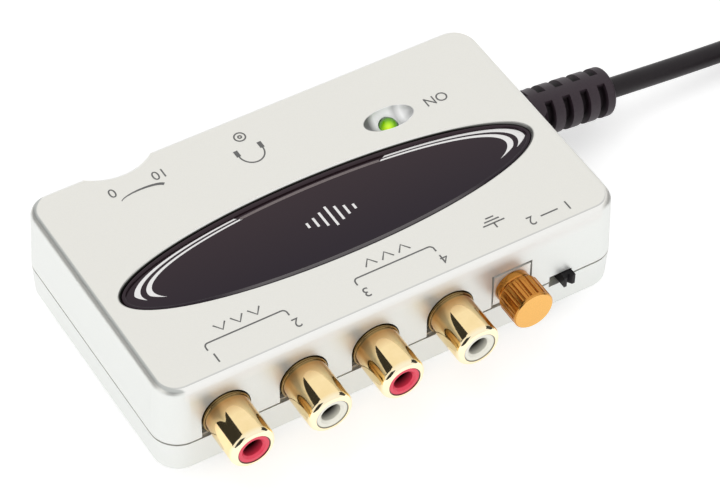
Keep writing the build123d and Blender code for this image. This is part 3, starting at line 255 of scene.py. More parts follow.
def coil_point(turns):
    """A point of the winding: in along the lower layer, up, out along the upper, up onto the plug."""
    x = COIL_START_X + CABLE_D
    y = RELIEF_ROOT[1] - COIL_OUT_R
    back = COIL_TURNS + COIL_CLIMB / 2
    end = 2 * back
    climbed = COIL_PITCH * ease((turns - COIL_TURNS) / COIL_CLIMB)
    lift_l = math.tau * COIL_OUT_R * COIL_LIFT
    tail_l = math.tau * COIL_TAIL_R * COIL_TAIL
    along = math.tau * COIL_OUT_R * (min(turns, end) - end + COIL_LIFT)
    along += math.tau * COIL_TAIL_R * max(turns - end, 0)
    lifted = (PLUG_LEVEL - COIL_LEVEL - COIL_PITCH) * ease(along / (lift_l + tail_l))
    z = COIL_LEVEL + climbed + lifted
    turn = math.tau * turns
    if turns > end:
        radius = COIL_TAIL_R
        y += COIL_OUT_R - COIL_TAIL_R
    else:
        radius = COIL_OUT_R - COIL_PITCH * (back - abs(turns - back))
    radius /= math.cos(math.pi / COIL_STEPS)
    return Vector((x + radius * math.sin(turn), y + radius * math.cos(turn), z))


def lead_points():
    """The route's points from the boot to the plug, in millimetres."""
    droop = math.radians(RELIEF_DROOP)
    way = Vector((math.cos(droop), 0, -math.sin(droop)))
    root = Vector(RELIEF_ROOT)
    y = RELIEF_ROOT[1]
    points = [root + way * RELIEF_L, root + way * (RELIEF_L + CABLE_FIRST_RUN)]
    points += [Vector((x, y, z)) for x, z in CABLE_ROUTE]
    points.append(Vector((COIL_START_X, y, COIL_LEVEL)))
    end = 2 * COIL_TURNS + COIL_CLIMB
    tail_steps = round(COIL_STEPS * COIL_TAIL)
    last = round(end * COIL_STEPS) + tail_steps
    points += [coil_point((i + 0.5) / COIL_STEPS) for i in range(last)]
    bend = coil_point(end + COIL_TAIL)
    plug_x = COIL_START_X + CABLE_D + COIL_TAIL_R
    plug_y = RELIEF_ROOT[1] - COIL_TAIL_R
    points.append(Vector((plug_x, plug_y, bend.z)))
    points.append(Vector((plug_x, plug_y - CABLE_D, PLUG_LEVEL)))
    return points


def curve_of(name, points, radius):
    """A smooth round cord through control points given in millimetres."""
    data = bpy.data.curves.new(name, "CURVE")
    data.dimensions = "3D"
    data.bevel_depth = 1.0
    data.bevel_resolution = 8
    data.resolution_u = 6
    spline = data.splines.new("NURBS")
    spline.points.add(len(points) - 1)
    for target, point in zip(spline.points, points):
        target.co = (*(point * MM), 1)
        target.radius = radius * MM
    spline.order_u = 3
    spline.use_endpoint_u = True
    cord = bpy.data.objects.new(name, data)
    scene.collection.objects.link(cord)
    return cord


LEAD_POINTS = lead_points()
lead = curve_of("usb_lead", LEAD_POINTS, CABLE_D / 2)
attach(lead, "case")
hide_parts("usb_cable", "usb_cable_coil")

# Materials


def shader(name):
    """A new material, its node tree and its main shader."""
    material = bpy.data.materials.new(name)
    material.use_nodes = True
    tree = material.node_tree
    return material, tree, tree.nodes["Principled BSDF"]


def coordinates(tree, kind="Object"):
    """The object's own coordinates in metres, or its box's in shares."""
    return tree.nodes.new("ShaderNodeTexCoord").outputs[kind]


def axis_of(tree, axis, source=None):
    """One axis of the object's own coordinates, or of another vector."""
    split = tree.nodes.new("ShaderNodeSeparateXYZ")
    tree.links.new(source or coordinates(tree), split.inputs["Vector"])
    return split.outputs[axis]


def surface_normal(tree):
    """The direction that the surface faces."""
    return tree.nodes.new("ShaderNodeNewGeometry").outputs["Normal"]


def noise(tree, grain):
    """A noise whose features are about grain millimetres wide."""
    node = tree.nodes.new("ShaderNodeTexNoise")
    node.inputs["Scale"].default_value = 1 / (grain * MM)
    node.inputs["Detail"].default_value = NOISE_DETAIL
    tree.links.new(coordinates(tree), node.inputs["Vector"])
    return node.outputs["Fac"]


def distance(tree, source, middle, reach, turn=(0, 0, 0)):
    """The distance from a middle, in shares of a reach along each axis, which can be turned."""
    place = tree.nodes.new("ShaderNodeMapping")
    place.vector_type = "TEXTURE"
    place.inputs["Location"].default_value = middle
    place.inputs["Rotation"].default_value = turn
    place.inputs["Scale"].default_value = reach
    tree.links.new(source, place.inputs["Vector"])
    length = tree.nodes.new("ShaderNodeVectorMath")
    length.operation = "LENGTH"
    tree.links.new(place.outputs["Vector"], length.inputs[0])
    return length.outputs["Value"]


def between(tree, factor, low, high, start=0.3, end=0.7):
    """A value that runs from low to high while a factor runs from start to end."""
    node = tree.nodes.new("ShaderNodeMapRange")
    node.inputs["From Min"].default_value = start
    node.inputs["From Max"].default_value = end
    node.inputs["To Min"].default_value = low
    node.inputs["To Max"].default_value = high
    tree.links.new(factor, node.inputs["Value"])
    return node.outputs["Result"]


def tones(tree, factor, *stops):
    """A colour that runs through stops of a place and a colour."""
    node = tree.nodes.new("ShaderNodeValToRGB")
    elements = node.color_ramp.elements
    while len(elements) < len(stops):
        elements.new(1.0)
    for element, (place, colour) in zip(elements, stops):
        element.position = place
        element.color = (*colour, 1)
    tree.links.new(factor, node.inputs["Fac"])
    return node.outputs["Color"]


def share_of(tree, factor, stops):
    """A share that runs through stops of a place and a share."""
    return tones(tree, factor, *[(place, [share] * 3) for place, share in stops])


def multiply(tree, first, second):
    """The product of two values."""
    node = tree.nodes.new("ShaderNodeMath")
    node.operation = "MULTIPLY"
    tree.links.new(first, node.inputs[0])
    tree.links.new(second, node.inputs[1])
    return node.outputs["Value"]


def two_tone(tree, factor, first, second):
    """A colour that runs from first to second over the middle of a noise."""
    return tones(tree, factor, (0.3, first), (0.7, second))


def blend(tree, factor, first, second):
    """One colour turning into another."""
    node = tree.nodes.new("ShaderNodeMix")
    node.data_type = "RGBA"
    tree.links.new(factor, node.inputs["Factor"])
    tree.links.new(first, node.inputs["A"])
    tree.links.new(second, node.inputs["B"])
    return node.outputs["Result"]


def relief(tree, main, factor, depth):
    """A bump of a depth in millimetres."""
    node = tree.nodes.new("ShaderNodeBump")
    node.inputs["Distance"].default_value = depth * MM
    tree.links.new(factor, node.inputs["Height"])
    tree.links.new(node.outputs["Normal"], main.inputs["Normal"])


def over_stretch(tree, axis, stretch, low=0.0, high=1.0):
    """A value that runs from low to high over a stretch of one axis, in millimetres."""
    start, end = (place * MM for place in stretch)
    return between(tree, axis_of(tree, axis), low, high, start, end)


def wear(tree, main, smooth, rough):
    """Broad changes of roughness."""
    tree.links.new(between(tree, noise(tree, WEAR_GRAIN), smooth, rough), main.inputs["Roughness"])


def finish(name, first, second, grain, rough, depth=0.0, metallic=0.0):
    """A surface with a fine two-tone grain, broad changes of gloss and a fine relief."""
    material, tree, main = shader(name)
    fine = noise(tree, grain)
    tree.links.new(two_tone(tree, fine, first, second), main.inputs["Base Color"])
    wear(tree, main, *rough)
    if depth:
        relief(tree, main, fine, depth)
    main.inputs["Metallic"].default_value = metallic
    return material


def edge_coat(tree, fine, rise, paint):
    """The share of rounded top edges with a painted highlight, and a paint with that highlight, a painted
    shade line along the front's crease and a painted dark reflection in grey along the left edge.
    """
    aside = between(tree, axis_of(tree, "X", surface_normal(tree)), 0.0, 1.0, -1.0, 1.0)
    straight = share_of(tree, aside, STRAIGHT_SIDE)
    near_top = multiply(tree, straight, over_stretch(tree, "Z", HIGHLIGHT_Z))
    edge = multiply(tree, share_of(tree, rise, HIGHLIGHT_RISE), near_top)
    facing = between(tree, axis_of(tree, "Y", surface_normal(tree)), 1.0, 0.0, *FRONT_FACING)
    crease = multiply(tree, share_of(tree, rise, CREASE_RISE), multiply(tree, straight, facing))
    upper = between(tree, rise, 0.0, 1.0, *LEFT_RISE)
    outer = multiply(tree, upper, over_stretch(tree, "X", LEFT_LINE_X, 1.0, 0.0))
    left = multiply(tree, share_of(tree, aside, LEFT_SIDE), outer)
    # Painted highlight on the rounded top edges
    edge_highlight = two_tone(tree, fine, (0.90, 0.895, 0.865), (0.93, 0.925, 0.895))
    # Painted shade: a darker line along the crease at the top of the front's rounded edge
    line = two_tone(tree, fine, (0.60, 0.60, 0.58), (0.64, 0.64, 0.62))
    # Painted dark reflection: a grey line along the rounded left edge
    grey = two_tone(tree, fine, (0.50, 0.515, 0.495), (0.54, 0.555, 0.535))
    coat = blend(tree, edge, paint, edge_highlight)
    coat = blend(tree, crease, coat, line)
    return edge, blend(tree, left, coat, grey)


def case_finish():
    """Satin silver paint in painted tones by facing, with painted shade round the badge that turns to a
    grey painted highlight at its right end, and painted shade and highlights in the bowl round the lamp.
    """
    material, tree, main = shader("case_silver")
    fine = noise(tree, 0.12)
    rise = axis_of(tree, "Z", surface_normal(tree))
    # Painted tones by facing: one silver paint, warmer on the top and cooler on the walls
    top = two_tone(tree, fine, (0.815, 0.805, 0.755), (0.845, 0.835, 0.785))
    wall = two_tone(tree, fine, (0.80, 0.815, 0.79), (0.83, 0.845, 0.82))
    paint = blend(tree, between(tree, rise, 0.0, 1.0, *PAINT_RISE), wall, top)
    edge, coat = edge_coat(tree, fine, rise, paint)
    # Painted shade and highlights across the bowl round the lamp
    across = over_stretch(tree, "X", (LAMP[0] - DIMPLE[0], LAMP[0] + DIMPLE[0]))
    bowl = share_of(tree, across, BOWL_SHADES)
    away = distance(tree, coordinates(tree), mm(*LAMP, COVER_TOP), mm(*DIMPLE))
    outside = between(tree, away, 0.0, 1.0, *BOWL_EDGE)
    # Painted shade round the badge's recess, turning to a grey painted highlight at its right end
    half_l, half_w = (size / 2 for size in BADGE_SIZE)
    reach = mm(half_l + BADGE_RIM[0], half_w + BADGE_RIM[1], ANY_LENGTH)
    from_badge = distance(tree, coordinates(tree), mm(*BADGE, 0), reach)
    beyond_rim = between(tree, from_badge, 0.0, 1.0, *RIM_EDGE)
    to_end = over_stretch(tree, "X", [share * BADGE_SIZE[0] for share in RIM_END])
    rim = tones(tree, to_end, (0.0, (0.014, 0.015, 0.011)), (1.0, (0.21, 0.21, 0.20)))
    shell = blend(tree, beyond_rim, rim, coat)
    tree.links.new(blend(tree, outside, bowl, shell), main.inputs["Base Color"])
    plated = between(tree, edge, CASE_METAL, EDGE_METAL, 0.0, 1.0)
    in_bowl = between(tree, outside, BOWL_METAL, 1.0, 0.0, 1.0)
    tree.links.new(multiply(tree, plated, in_bowl), main.inputs["Metallic"])
    tree.links.new(between(tree, rise, WALL_ROUGH, TOP_ROUGH, *PAINT_RISE), main.inputs["Roughness"])
    relief(tree, main, fine, 0.002)
    return material


def lamp_finish():
    """A lit green lens, yellow low at its front and darker to its rim."""
    material, tree, main = shader("lamp_green")
    reach = mm(GLOW_REACH * LENS_R, GLOW_REACH * LENS_R, ANY_LENGTH)
    away = distance(tree, coordinates(tree), mm(*LAMP_GLOW, 0), reach)
    colour = tones(
        tree,
        away,
        (0.0, (0.80, 0.96, 0.05)),
        (0.22, (0.42, 0.72, 0.01)),
        (0.45, (0.13, 0.36, 0.0)),
        (0.75, (0.02, 0.09, 0.0)),
    )
    tree.links.new(colour, main.inputs["Base Color"])
    tree.links.new(colour, main.inputs["Emission Color"])
    main.inputs["Emission Strength"].default_value = 0.3
    main.inputs["Roughness"].default_value = 0.08
    return material


def insulator_finish(name, face, edge_shade):
    """A socket's coloured insulator: a bright face, painted shade round its edge and painted shade in its
    hole that goes darker with depth.
    """
    material, tree, main = shader(name)
    box = coordinates(tree, "Generated")
    # Painted shade in the hole, darker with depth
    stops = [(place, [value * shade for value in face]) for place, shade in HOLE_DEPTHS]
    ring = [value * edge_shade for value in face]
    colour = tones(tree, axis_of(tree, "Y", box), *stops)
    # Painted shade round the edge of the face
    away = distance(tree, box, (0.5, 0.5, 0.5), (0.5, ANY_LENGTH, 0.5))
    edge = between(tree, away, 0.0, 1.0, *INSULATOR_EDGE)
    dark = tones(tree, away, (0.0, ring), (1.0, ring))
    tree.links.new(blend(tree, edge, colour, dark), main.inputs["Base Color"])
    tree.links.new(between(tree, noise(tree, 0.5), 0.28, 0.38), main.inputs["Roughness"])
    return material


def gold_finish():
    """Bright gold plate, with browner painted shade at the root of each sleeve, painted shade on its flange
    and a paler painted highlight on its lip.
    """
    material, tree, main = shader("contact_gold")
    fine = noise(tree, 1.5)
    bright = two_tone(tree, fine, (0.93, 0.725, 0.38), (0.97, 0.765, 0.42))
    root_shade = two_tone(tree, fine, (0.52, 0.28, 0.10), (0.58, 0.32, 0.12))
    dark = two_tone(tree, fine, (0.27, 0.18, 0.075), (0.31, 0.21, 0.085))
    pale = two_tone(tree, fine, (0.97, 0.86, 0.60), (0.99, 0.89, 0.64))
    # Painted shade at the root, painted highlight on the lip and painted shade on the flange
    sleeve = blend(tree, over_stretch(tree, "Y", SLEEVE_ROOT_Y), bright, root_shade)
    sleeve = blend(tree, over_stretch(tree, "Y", SLEEVE_LIP_Y, 1.0, 0.0), sleeve, pale)
    sleeve = blend(tree, over_stretch(tree, "Y", FLANGE_Y), sleeve, dark)
    tree.links.new(sleeve, main.inputs["Base Color"])
    wear(tree, main, 0.04, 0.07)
    main.inputs["Metallic"].default_value = 1.0
    return material


def badge_finish():
    """Gloss black, browner to the back, with a grey painted reflection on the front of the bead."""
    material, tree, main = shader("badge_black")
    half_w = BADGE_SIZE[1] / 2
    depth = over_stretch(tree, "Y", (BADGE[1] - half_w, BADGE[1] + half_w))
    plain = tones(tree, depth, (0.15, (0.004, 0.001, 0.005)), (0.85, (0.018, 0.009, 0.011)))
    # Painted reflection: a grey line on the front of the bead's top
    grey = two_tone(tree, noise(tree, 9.0), (0.09, 0.085, 0.085), (0.11, 0.105, 0.105))
    front = between(tree, depth, 1.0, 0.0, *BEAD_FRONT)
    bead_reflection = blend(tree, front, plain, grey)
    top = over_stretch(tree, "Z", BEAD_LINE_Z)
    tree.links.new(blend(tree, top, plain, bead_reflection), main.inputs["Base Color"])
    wear(tree, main, 0.05, 0.08)
    main.inputs["Specular IOR Level"].default_value = 0.34
    main.inputs["Specular Tint"].default_value = (1.0, 0.84, 0.97, 1)
    return material


def brass_finish():
    """Satin brass, bright on the turned faces and browner on the fluted sides with painted shade."""
    material, tree, main = shader("terminal_brass")
    fine = noise(tree, 0.2)
    # Painted shade by facing: browner fluted sides than turned faces
    face = two_tone(tree, fine, (0.80, 0.43, 0.11), (0.86, 0.48, 0.14))
    side = two_tone(tree, fine, (0.52, 0.215, 0.04), (0.60, 0.26, 0.055))
    turned = between(tree, axis_of(tree, "Y", surface_normal(tree)), 1.0, 0.0, *TURNED_FACING)
    tree.links.new(blend(tree, turned, side, face), main.inputs["Base Color"])
    wear(tree, main, 0.20, 0.28)
    main.inputs["Metallic"].default_value = 1.0
    relief(tree, main, fine, 0.002)
    return material


def slider_finish():
    """Black plastic in front of the wall, on a dull metal foot behind it."""
    material, tree, main = shader("slider_black")
    fine = noise(tree, 0.25)
    plastic = two_tone(tree, fine, (0.005, 0.004, 0.005), (0.012, 0.010, 0.012))
    metal = two_tone(tree, fine, (0.84, 0.82, 0.67), (0.90, 0.88, 0.72))
    behind = over_stretch(tree, "Y", SLIDER_FOOT_Y)
    tree.links.new(blend(tree, behind, plastic, metal), main.inputs["Base Color"])
    wear(tree, main, 0.35, 0.5)
    main.inputs["Specular IOR Level"].default_value = 0.2
    relief(tree, main, fine, 0.008)
    return material


def housing_finish():
    """Black plastic, with painted light in olive grey on the fronts behind the sockets' holes."""
    material, tree, main = shader("housing_black")
    fine = noise(tree, 0.3)
    black = two_tone(tree, fine, (0.012, 0.012, 0.012), (0.03, 0.03, 0.03))
    # Painted light: olive grey where light through the sockets' holes falls on the fronts
    painted_light = two_tone(tree, fine, (0.84, 0.84, 0.72), (0.90, 0.90, 0.78))
    behind = over_stretch(tree, "Y", HOUSING_FRONT_Y)
    tree.links.new(blend(tree, behind, painted_light, black), main.inputs["Base Color"])
    wear(tree, main, 0.4, 0.55)
    relief(tree, main, fine, 0.01)
    return material


def cable_finish():
    """Black rubber, with a grey painted highlight on the ribs of the boot, and black in its slots and on
    the lead.
    """
    material, tree, main = shader("cable_black")
    fine = noise(tree, 0.3)
    # Painted highlight: grey on the ribs of the boot, black in its slots and on the lead
    black = two_tone(tree, fine, (0.006, 0.003, 0.005), (0.010, 0.006, 0.008))
    grey = two_tone(tree, fine, (0.030, 0.019, 0.026), (0.038, 0.025, 0.033))
    turn = (0, math.radians(RELIEF_DROOP), 0)
    reach = mm(ANY_LENGTH, RELIEF_R, RELIEF_R)
    from_axis = distance(tree, coordinates(tree), mm(*RELIEF_ROOT), reach, turn)
    ribs = between(tree, from_axis, 0.0, 1.0, *RIB_EDGE)
    on_boot = over_stretch(tree, "X", RELIEF_END_X, 1.0, 0.0)
    tree.links.new(blend(tree, multiply(tree, ribs, on_boot), black, grey), main.inputs["Base Color"])
    wear(tree, main, 0.40, 0.50)
    main.inputs["Specular IOR Level"].default_value = 0.36
    relief(tree, main, fine, 0.006)
    return material


def woven_finish():
    """Hook-and-loop strap with a fine weave."""
    material, tree, main = shader("tie_fabric")
    weave = tree.nodes.new("ShaderNodeTexWave")
    weave.inputs["Scale"].default_value = 1 / (WEAVE_GRAIN * MM)
    weave.inputs["Distortion"].default_value = 1.5
    tree.links.new(coordinates(tree), weave.inputs["Vector"])
    colour = two_tone(tree, weave.outputs["Fac"], (0.012, 0.012, 0.014), (0.05, 0.05, 0.055))
    tree.links.new(colour, main.inputs["Base Color"])
    relief(tree, main, weave.outputs["Fac"], 0.1)
    main.inputs["Roughness"].default_value = 0.9
    main.inputs["Sheen Weight"].default_value = 0.4
    return material


FINISHES = {
    "case_silver": case_finish(),
    "badge_black": badge_finish(),
    "foot_rubber": finish(
        "foot_rubber", (0.012, 0.012, 0.012), (0.03, 0.03, 0.03), 0.3, (0.7, 0.85), 0.02
    ),
    "screw_steel": finish(
        "screw_steel", (0.45, 0.45, 0.45), (0.62, 0.62, 0.61), 0.2, (0.25, 0.4), 0.004, metallic=1.0
    ),
    "board_green": finish("board_green", (0.01, 0.11, 0.035), (0.02, 0.17, 0.06), 1.5, (0.25, 0.4), 0.01),
    "chip_black": finish("chip_black", (0.012, 0.012, 0.012), (0.03, 0.03, 0.03), 0.2, (0.5, 0.65), 0.01),
    "can_aluminium": finish(
        "can_aluminium", (0.62, 0.62, 0.63), (0.75, 0.75, 0.76), 0.3, (0.25, 0.4), 0.004, metallic=1.0
    ),
    "lamp_green": lamp_finish(),
    "tin_plate": finish(
        "tin_plate", (0.52, 0.52, 0.50), (0.68, 0.68, 0.65), 0.3, (0.25, 0.4), 0.004, metallic=1.0
    ),
    "housing_black": housing_finish(),
    "nickel": finish(
        "nickel", (0.84, 0.83, 0.79), (0.90, 0.89, 0.85), 0.3, (0.42, 0.50), 0.002, metallic=0.6
    ),
    "terminal_brass": brass_finish(),
    "slider_black": slider_finish(),
    "wheel_grey": finish("wheel_grey", (0.06, 0.06, 0.065), (0.10, 0.10, 0.11), 0.3, (0.4, 0.55), 0.01),
    "header_white": finish("header_white", (0.74, 0.73, 0.69), (0.82, 0.81, 0.77), 0.4, (0.4, 0.5), 0.006),
    "wire_jacket": finish("wire_jacket", (0.40, 0.02, 0.02), (0.55, 0.04, 0.04), 0.6, (0.35, 0.5), 0.006),
    "cable_black": cable_finish(),
    "tie_fabric": woven_finish(),
    "plug_black": finish(
        "plug_black", (0.010, 0.010, 0.011), (0.025, 0.025, 0.027), 0.3, (0.4, 0.55), 0.012
    ),
    "plug_steel": finish(
        "plug_steel", (0.55, 0.55, 0.55), (0.70, 0.70, 0.70), 0.3, (0.18, 0.3), 0.003, metallic=1.0
    ),
    "contact_gold": gold_finish(),
    "insulator_red": insulator_finish("insulator_red", (0.86, 0.055, 0.11), 0.06),
    "insulator_white": insulator_finish("insulator_white", (0.94, 0.92, 0.81), 0.3),
}
PRINT_GREY = finish("print_grey", (0.10, 0.10, 0.10), (0.16, 0.16, 0.155), 0.15, (0.5, 0.6))
PRINT_MAUVE = finish("print_mauve", (0.15, 0.12, 0.12), (0.19, 0.155, 0.155), 0.3, (0.4, 0.5))
PRINT_WHITE = finish("print_white", (0.84, 0.83, 0.82), (0.90, 0.89, 0.88), 0.3, (0.3, 0.4))

for part in frame["record"]["subparts"]:
    mesh = nodes[part["node"]].data
    mesh.materials.clear()
    mesh.materials.append(FINISHES[part["material_slot"]])
lead.data.materials.append(FINISHES["cable_black"])

# Printed marks


def arc(middle, reach, start, end, steps=24):
    """Points of an arc of an oval, from one angle to another in degrees."""
    angles = [math.radians(start + (end - start) * i / steps) for i in range(steps + 1)]
    return [(middle[0] + reach[0] * math.cos(a), middle[1] + reach[1] * math.sin(a)) for a in angles]


def edges_of(points, widths):
    """The two edges of a stroke along points, with a width at each of them."""
    sides = ([], [])
    for i, (point, width) in enumerate(zip(points, widths)):
        before = Vector(points[max(i - 1, 0)])
        after = Vector(points[min(i + 1, len(points) - 1)])
        along = (after - before).normalized()
        offset = Vector((-along.y, along.x)) * width / 2
        sides[0].append(Vector(point) + offset)
        sides[1].append(Vector(point) - offset)
    return sides


def printed(name, bands, level, ink):
    """Flat ink on the case: each band lies between two rows of points in millimetres."""
    places = []
    faces = []
    for first, second in bands:
        start = len(places)
        count = len(first)
        places += [mm(*point, level + INK_LIFT) for point in (*first, *second)]
        for here in range(start, start + count - 1):
            there = here + count
            faces.append((here, there, there + 1, here + 1))
    mesh = bpy.data.meshes.new(name)
    mesh.from_pydata(places, [], faces)
    mesh.materials.append(ink)
    mark = bpy.data.objects.new(name, mesh)
    scene.collection.objects.link(mark)
    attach(mark, "case")


def stroke(points, width=STROKE):
    """A stroke of one width."""
    return edges_of(points, [width] * len(points))


def figure(text, name, place):
    """A printed number or word that reads upright from behind the case."""
    data = bpy.data.curves.new(name, "FONT")
    data.body = text
    data.size = FIGURE_H * MM
    data.align_x = "CENTER"
    data.align_y = "CENTER"
    data.materials.append(PRINT_GREY)
    mark = bpy.data.objects.new(name, data)
    mark.location = mm(*place, COVER_TOP + INK_LIFT)
    mark.rotation_euler.z = math.pi
    scene.collection.objects.link(mark)
    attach(mark, "case")


def mark_cover(name, *strokes):
    """A grey mark on the cover."""
    printed(name, strokes, COVER_TOP, PRINT_GREY)


def bracket(left, right):
    """A bracket over a pair of sockets."""
    low = BRACKET_Y - BRACKET_R
    corner = (BRACKET_R, BRACKET_R)
    points = [(left, BRACKET_Y - BRACKET_LEG)]
    points += arc((left + BRACKET_R, low), corner, 180, 90, 6)
    points += arc((right - BRACKET_R, low), corner, 90, 0, 6)
    points.append((right, BRACKET_Y - BRACKET_LEG))
    return stroke(points)


def arrows(middle, way):
    """A row of arrow heads that point out of the case or into it."""
    half = ARROW_HALF[0]
    rise = ARROW_HALF[1] * way
    spots = [middle + ARROW_PITCH * step for step in (-1, 0, 1)]
    return [
        stroke([(x - half, ARROW_Y - rise), (x, ARROW_Y + rise), (x + half, ARROW_Y - rise)]) for x in spots
    ]


def mark_sockets():
    """Brackets, arrows and numbers of the two pairs of sockets."""
    ways = {"output": -1, "input": 1}
    number = 0
    for pair, ends in SOCKET_BRACKETS.items():
        mark_cover(f"mark_{pair}", bracket(*ends), *arrows(sum(ends) / 2, ways[pair]))
        for end, shift in zip(ends, FIGURE_SHIFTS):
            number += 1
            figure(str(number), f"figure_{number}", (end + shift, FIGURE_Y))


def mark_ground():
    """The usual sign for a ground terminal, its stem to the front."""
    x, y = GROUND_MARK
    strokes = [stroke([(x - half, y + up), (x + half, y + up)]) for up, half in GROUND_BARS]
    mark_cover("mark_ground", *strokes, stroke([(x, y + up) for up in GROUND_STEM]))


def mark_switch():
    """The two places of the slide switch."""
    x, y = SWITCH_MARK
    mark_cover("mark_switch", stroke([(x - SWITCH_DASH, y), (x + SWITCH_DASH, y)]))
    figure("1", "figure_switch_1", (x + SWITCH_FIGURE, y))
    figure("2", "figure_switch_2", (x - SWITCH_FIGURE, y))


def mark_phones():
    """A pair of headphones over a round socket."""
    x, y = PHONES_MARK
    cup_l, cup_w = PHONES_CUP
    band = stroke(arc((x, y), PHONES_BAND, 180, 360))
    ends = (x - PHONES_BAND[0], x + PHONES_BAND[0])
    cups = [stroke([(end, y), (end, y + cup_l)], cup_w) for end in ends]
    mark_cover("mark_phones", band, *cups)
    rings = [stroke(arc(JACK_MARK, (radius, radius), 0, 360)) for radius in JACK_RINGS]
    mark_cover("mark_phones_socket", *rings)


def mark_volume():
    """A wedge that swells with the volume, between the ends of the scale."""
    points = arc(VOLUME_ARC, VOLUME_REACH, *VOLUME_ENDS)
    thin, thick = VOLUME_WIDTHS
    last = len(points) - 1
    widths = [thin + (thick - thin) * i / last for i in range(len(points))]
    mark_cover("mark_volume", edges_of(points, widths))
    for text, place in VOLUME_FIGURES.items():
        figure(text, f"figure_volume_{text}", place)


def trim_band(side, outer, inner, tip):
    """A crescent band at one end of the badge, from its near tip to its far end."""
    rows = ([], [])
    for i in range(TRIM_STEPS + 1):
        angle = tip + (TRIM_END - tip) * i / TRIM_STEPS
        full = min(1.0, (angle - tip) / TRIM_TAPER)
        turn = math.radians(angle)
        for row, share in zip(rows, (full, 0.0)):
            half_l = inner[0] + (outer[0] - inner[0]) * share
            half_w = inner[1] + (outer[1] - inner[1]) * share
            row.append((BADGE[0] + side * half_l * math.cos(turn), BADGE[1] + half_w * math.sin(turn)))
    return rows if side > 0 else rows[::-1]


def mark_badge():
    """White bands round both ends of the badge, a line along its back and level bars in its middle."""
    for name, side, bands in (("right", 1, TRIM_RIGHT), ("left", -1, TRIM_LEFT)):
        trims = [trim_band(side, *band, tip) for band, tip in zip(bands, TRIM_TIPS[name])]
        printed(f"badge_trim_{name}", trims, BADGE_FACE, PRINT_WHITE)
    ends = (TRIM_LEFT[-1][0], TRIM_RIGHT[-1][0])
    half_l = min(outer[0] for outer in ends)
    line = [arc(BADGE, (half_l, half_w), 180 - TRIM_END, TRIM_END, TRIM_STEPS) for half_w in BACK_LINE]
    printed("badge_back_line", [line[::-1]], BADGE_FACE, PRINT_MAUVE)
    bars = []
    for step, height in enumerate(BAR_HEIGHTS):
        x = BADGE[0] + BAR_PITCH * (step - len(BAR_HEIGHTS) // 2)
        bars.append(stroke([(x, BADGE[1] - height / 2), (x, BADGE[1] + height / 2)], BAR_W))
    printed("badge_bars", bars, BADGE_FACE, PRINT_WHITE)


mark_sockets()
mark_ground()
mark_switch()
mark_phones()
mark_volume()
mark_badge()
figure("ON", "figure_lamp", LAMP_MARK)

# Stage


def stage_floor():
    """A wide white floor that takes the object's shadow and looks white to the camera."""
    mesh = bpy.data.meshes.new("floor")
    half = FLOOR_HALF
    corners = [(-half, -half, 0), (half, -half, 0), (half, half, 0), (-half, half, 0)]
    mesh.from_pydata(corners, [], [(0, 1, 2, 3)])
    floor = bpy.data.objects.new("floor", mesh)
    floor.location.z = -FLOOR_DROP
    scene.collection.objects.link(floor)
    material, tree, main = shader("floor_white")
    speck = noise(tree, 30.0)
    tree.links.new(two_tone(tree, speck, (0.84, 0.84, 0.84), (0.86, 0.86, 0.86)), main.inputs["Base Color"])
    main.inputs["Roughness"].default_value = 0.9
    main.inputs["Emission Color"].default_value = (1, 1, 1, 1)
    tree.links.new(seen_directly(tree, FLOOR_GLOW), main.inputs["Emission Strength"])
    mesh.materials.append(material)


def seen_directly(tree, strength):
    """A strength for camera, mirror and glass rays, and none for the light that falls on things."""
    path = tree.nodes.new("ShaderNodeLightPath")
    first = tree.nodes.new("ShaderNodeMath")
    first.operation = "MAXIMUM"
    tree.links.new(path.outputs["Is Camera Ray"], first.inputs[0])
    tree.links.new(path.outputs["Is Glossy Ray"], first.inputs[1])
    second = tree.nodes.new("ShaderNodeMath")
    second.operation = "MAXIMUM"
    tree.links.new(first.outputs["Value"], second.inputs[0])
    tree.links.new(path.outputs["Is Transmission Ray"], second.inputs[1])
    scaled = tree.nodes.new("ShaderNodeMath")
    scaled.operation = "MULTIPLY"
    scaled.inputs[1].default_value = strength
    tree.links.new(second.outputs["Value"], scaled.inputs[0])
    return scaled.outputs["Value"]


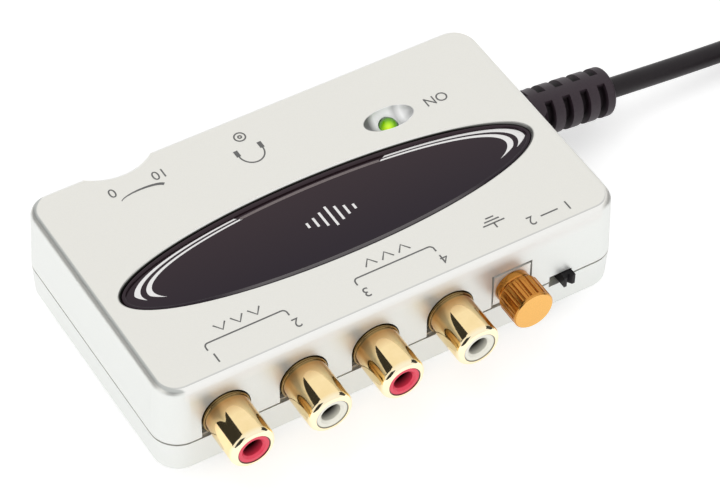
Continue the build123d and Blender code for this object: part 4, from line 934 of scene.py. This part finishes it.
def stage_world():
    """A white surround for the camera and for reflections, and a soft fill for the rest."""
    world = bpy.data.worlds.new("studio")
    world.use_nodes = True
    tree = world.node_tree
    background = tree.nodes["Background"]
    background.inputs["Color"].default_value = (1, 1, 1, 1)
    fill = tree.nodes.new("ShaderNodeMath")
    fill.operation = "ADD"
    fill.inputs[1].default_value = SURROUND_FILL
    tree.links.new(seen_directly(tree, SURROUND_GLOW), fill.inputs[0])
    tree.links.new(fill.outputs["Value"], background.inputs["Strength"])
    scene.world = world


def softbox(name, place, target, size, watts):
    """A rectangular studio lamp that mirrors don't show."""
    data = bpy.data.lights.new(name, "AREA")
    data.shape = "RECTANGLE"
    data.size = size[0]
    data.size_y = size[1]
    data.energy = watts
    lamp = bpy.data.objects.new(name, data)
    lamp.location = place
    lamp.rotation_euler = (Vector(target) - Vector(place)).to_track_quat("-Z", "Y").to_euler()
    lamp.visible_glossy = False
    scene.collection.objects.link(lamp)


def stage_flag(name, azimuth, elevations, width, shade):
    """A dark card that shows only in reflections, at an azimuth from the back towards the right."""
    half = FLAG_AWAY * math.tan(math.radians(width / 2))
    low, high = (FLAG_AWAY * math.tan(math.radians(value)) for value in elevations)
    mesh = bpy.data.meshes.new(name)
    corners = [(x, FLAG_AWAY, z) for x, z in ((-half, low), (half, low), (half, high), (-half, high))]
    mesh.from_pydata(corners, [], [(0, 1, 2, 3)])
    material, tree, main = shader(name)
    speck = noise(tree, 60.0)
    tree.links.new(two_tone(tree, speck, [shade] * 3, [shade * 1.1] * 3), main.inputs["Base Color"])
    main.inputs["Roughness"].default_value = 1.0
    mesh.materials.append(material)
    flag = bpy.data.objects.new(name, mesh)
    flag.rotation_euler.z = -math.radians(azimuth)
    flag.visible_camera = False
    flag.visible_diffuse = False
    flag.visible_transmission = False
    flag.visible_shadow = False
    scene.collection.objects.link(flag)


stage_floor()
stage_world()
softbox("key", (-0.25, 0.35, 1.1), (0, 0, 0), (0.9, 0.7), 2.0)
softbox("front", (-0.45, -0.72, 0.56), (0, 0, 0), (0.5, 0.5), 2.6)
stage_flag("flag_left", -45, (0, 51), 60, 0.03)
stage_flag("flag_right", 95, (0, 31), 52, 0.05)
stage_flag("flag_front", -135, (0, 45), 44, 0.03)
scene.view_settings.view_transform = "Standard"
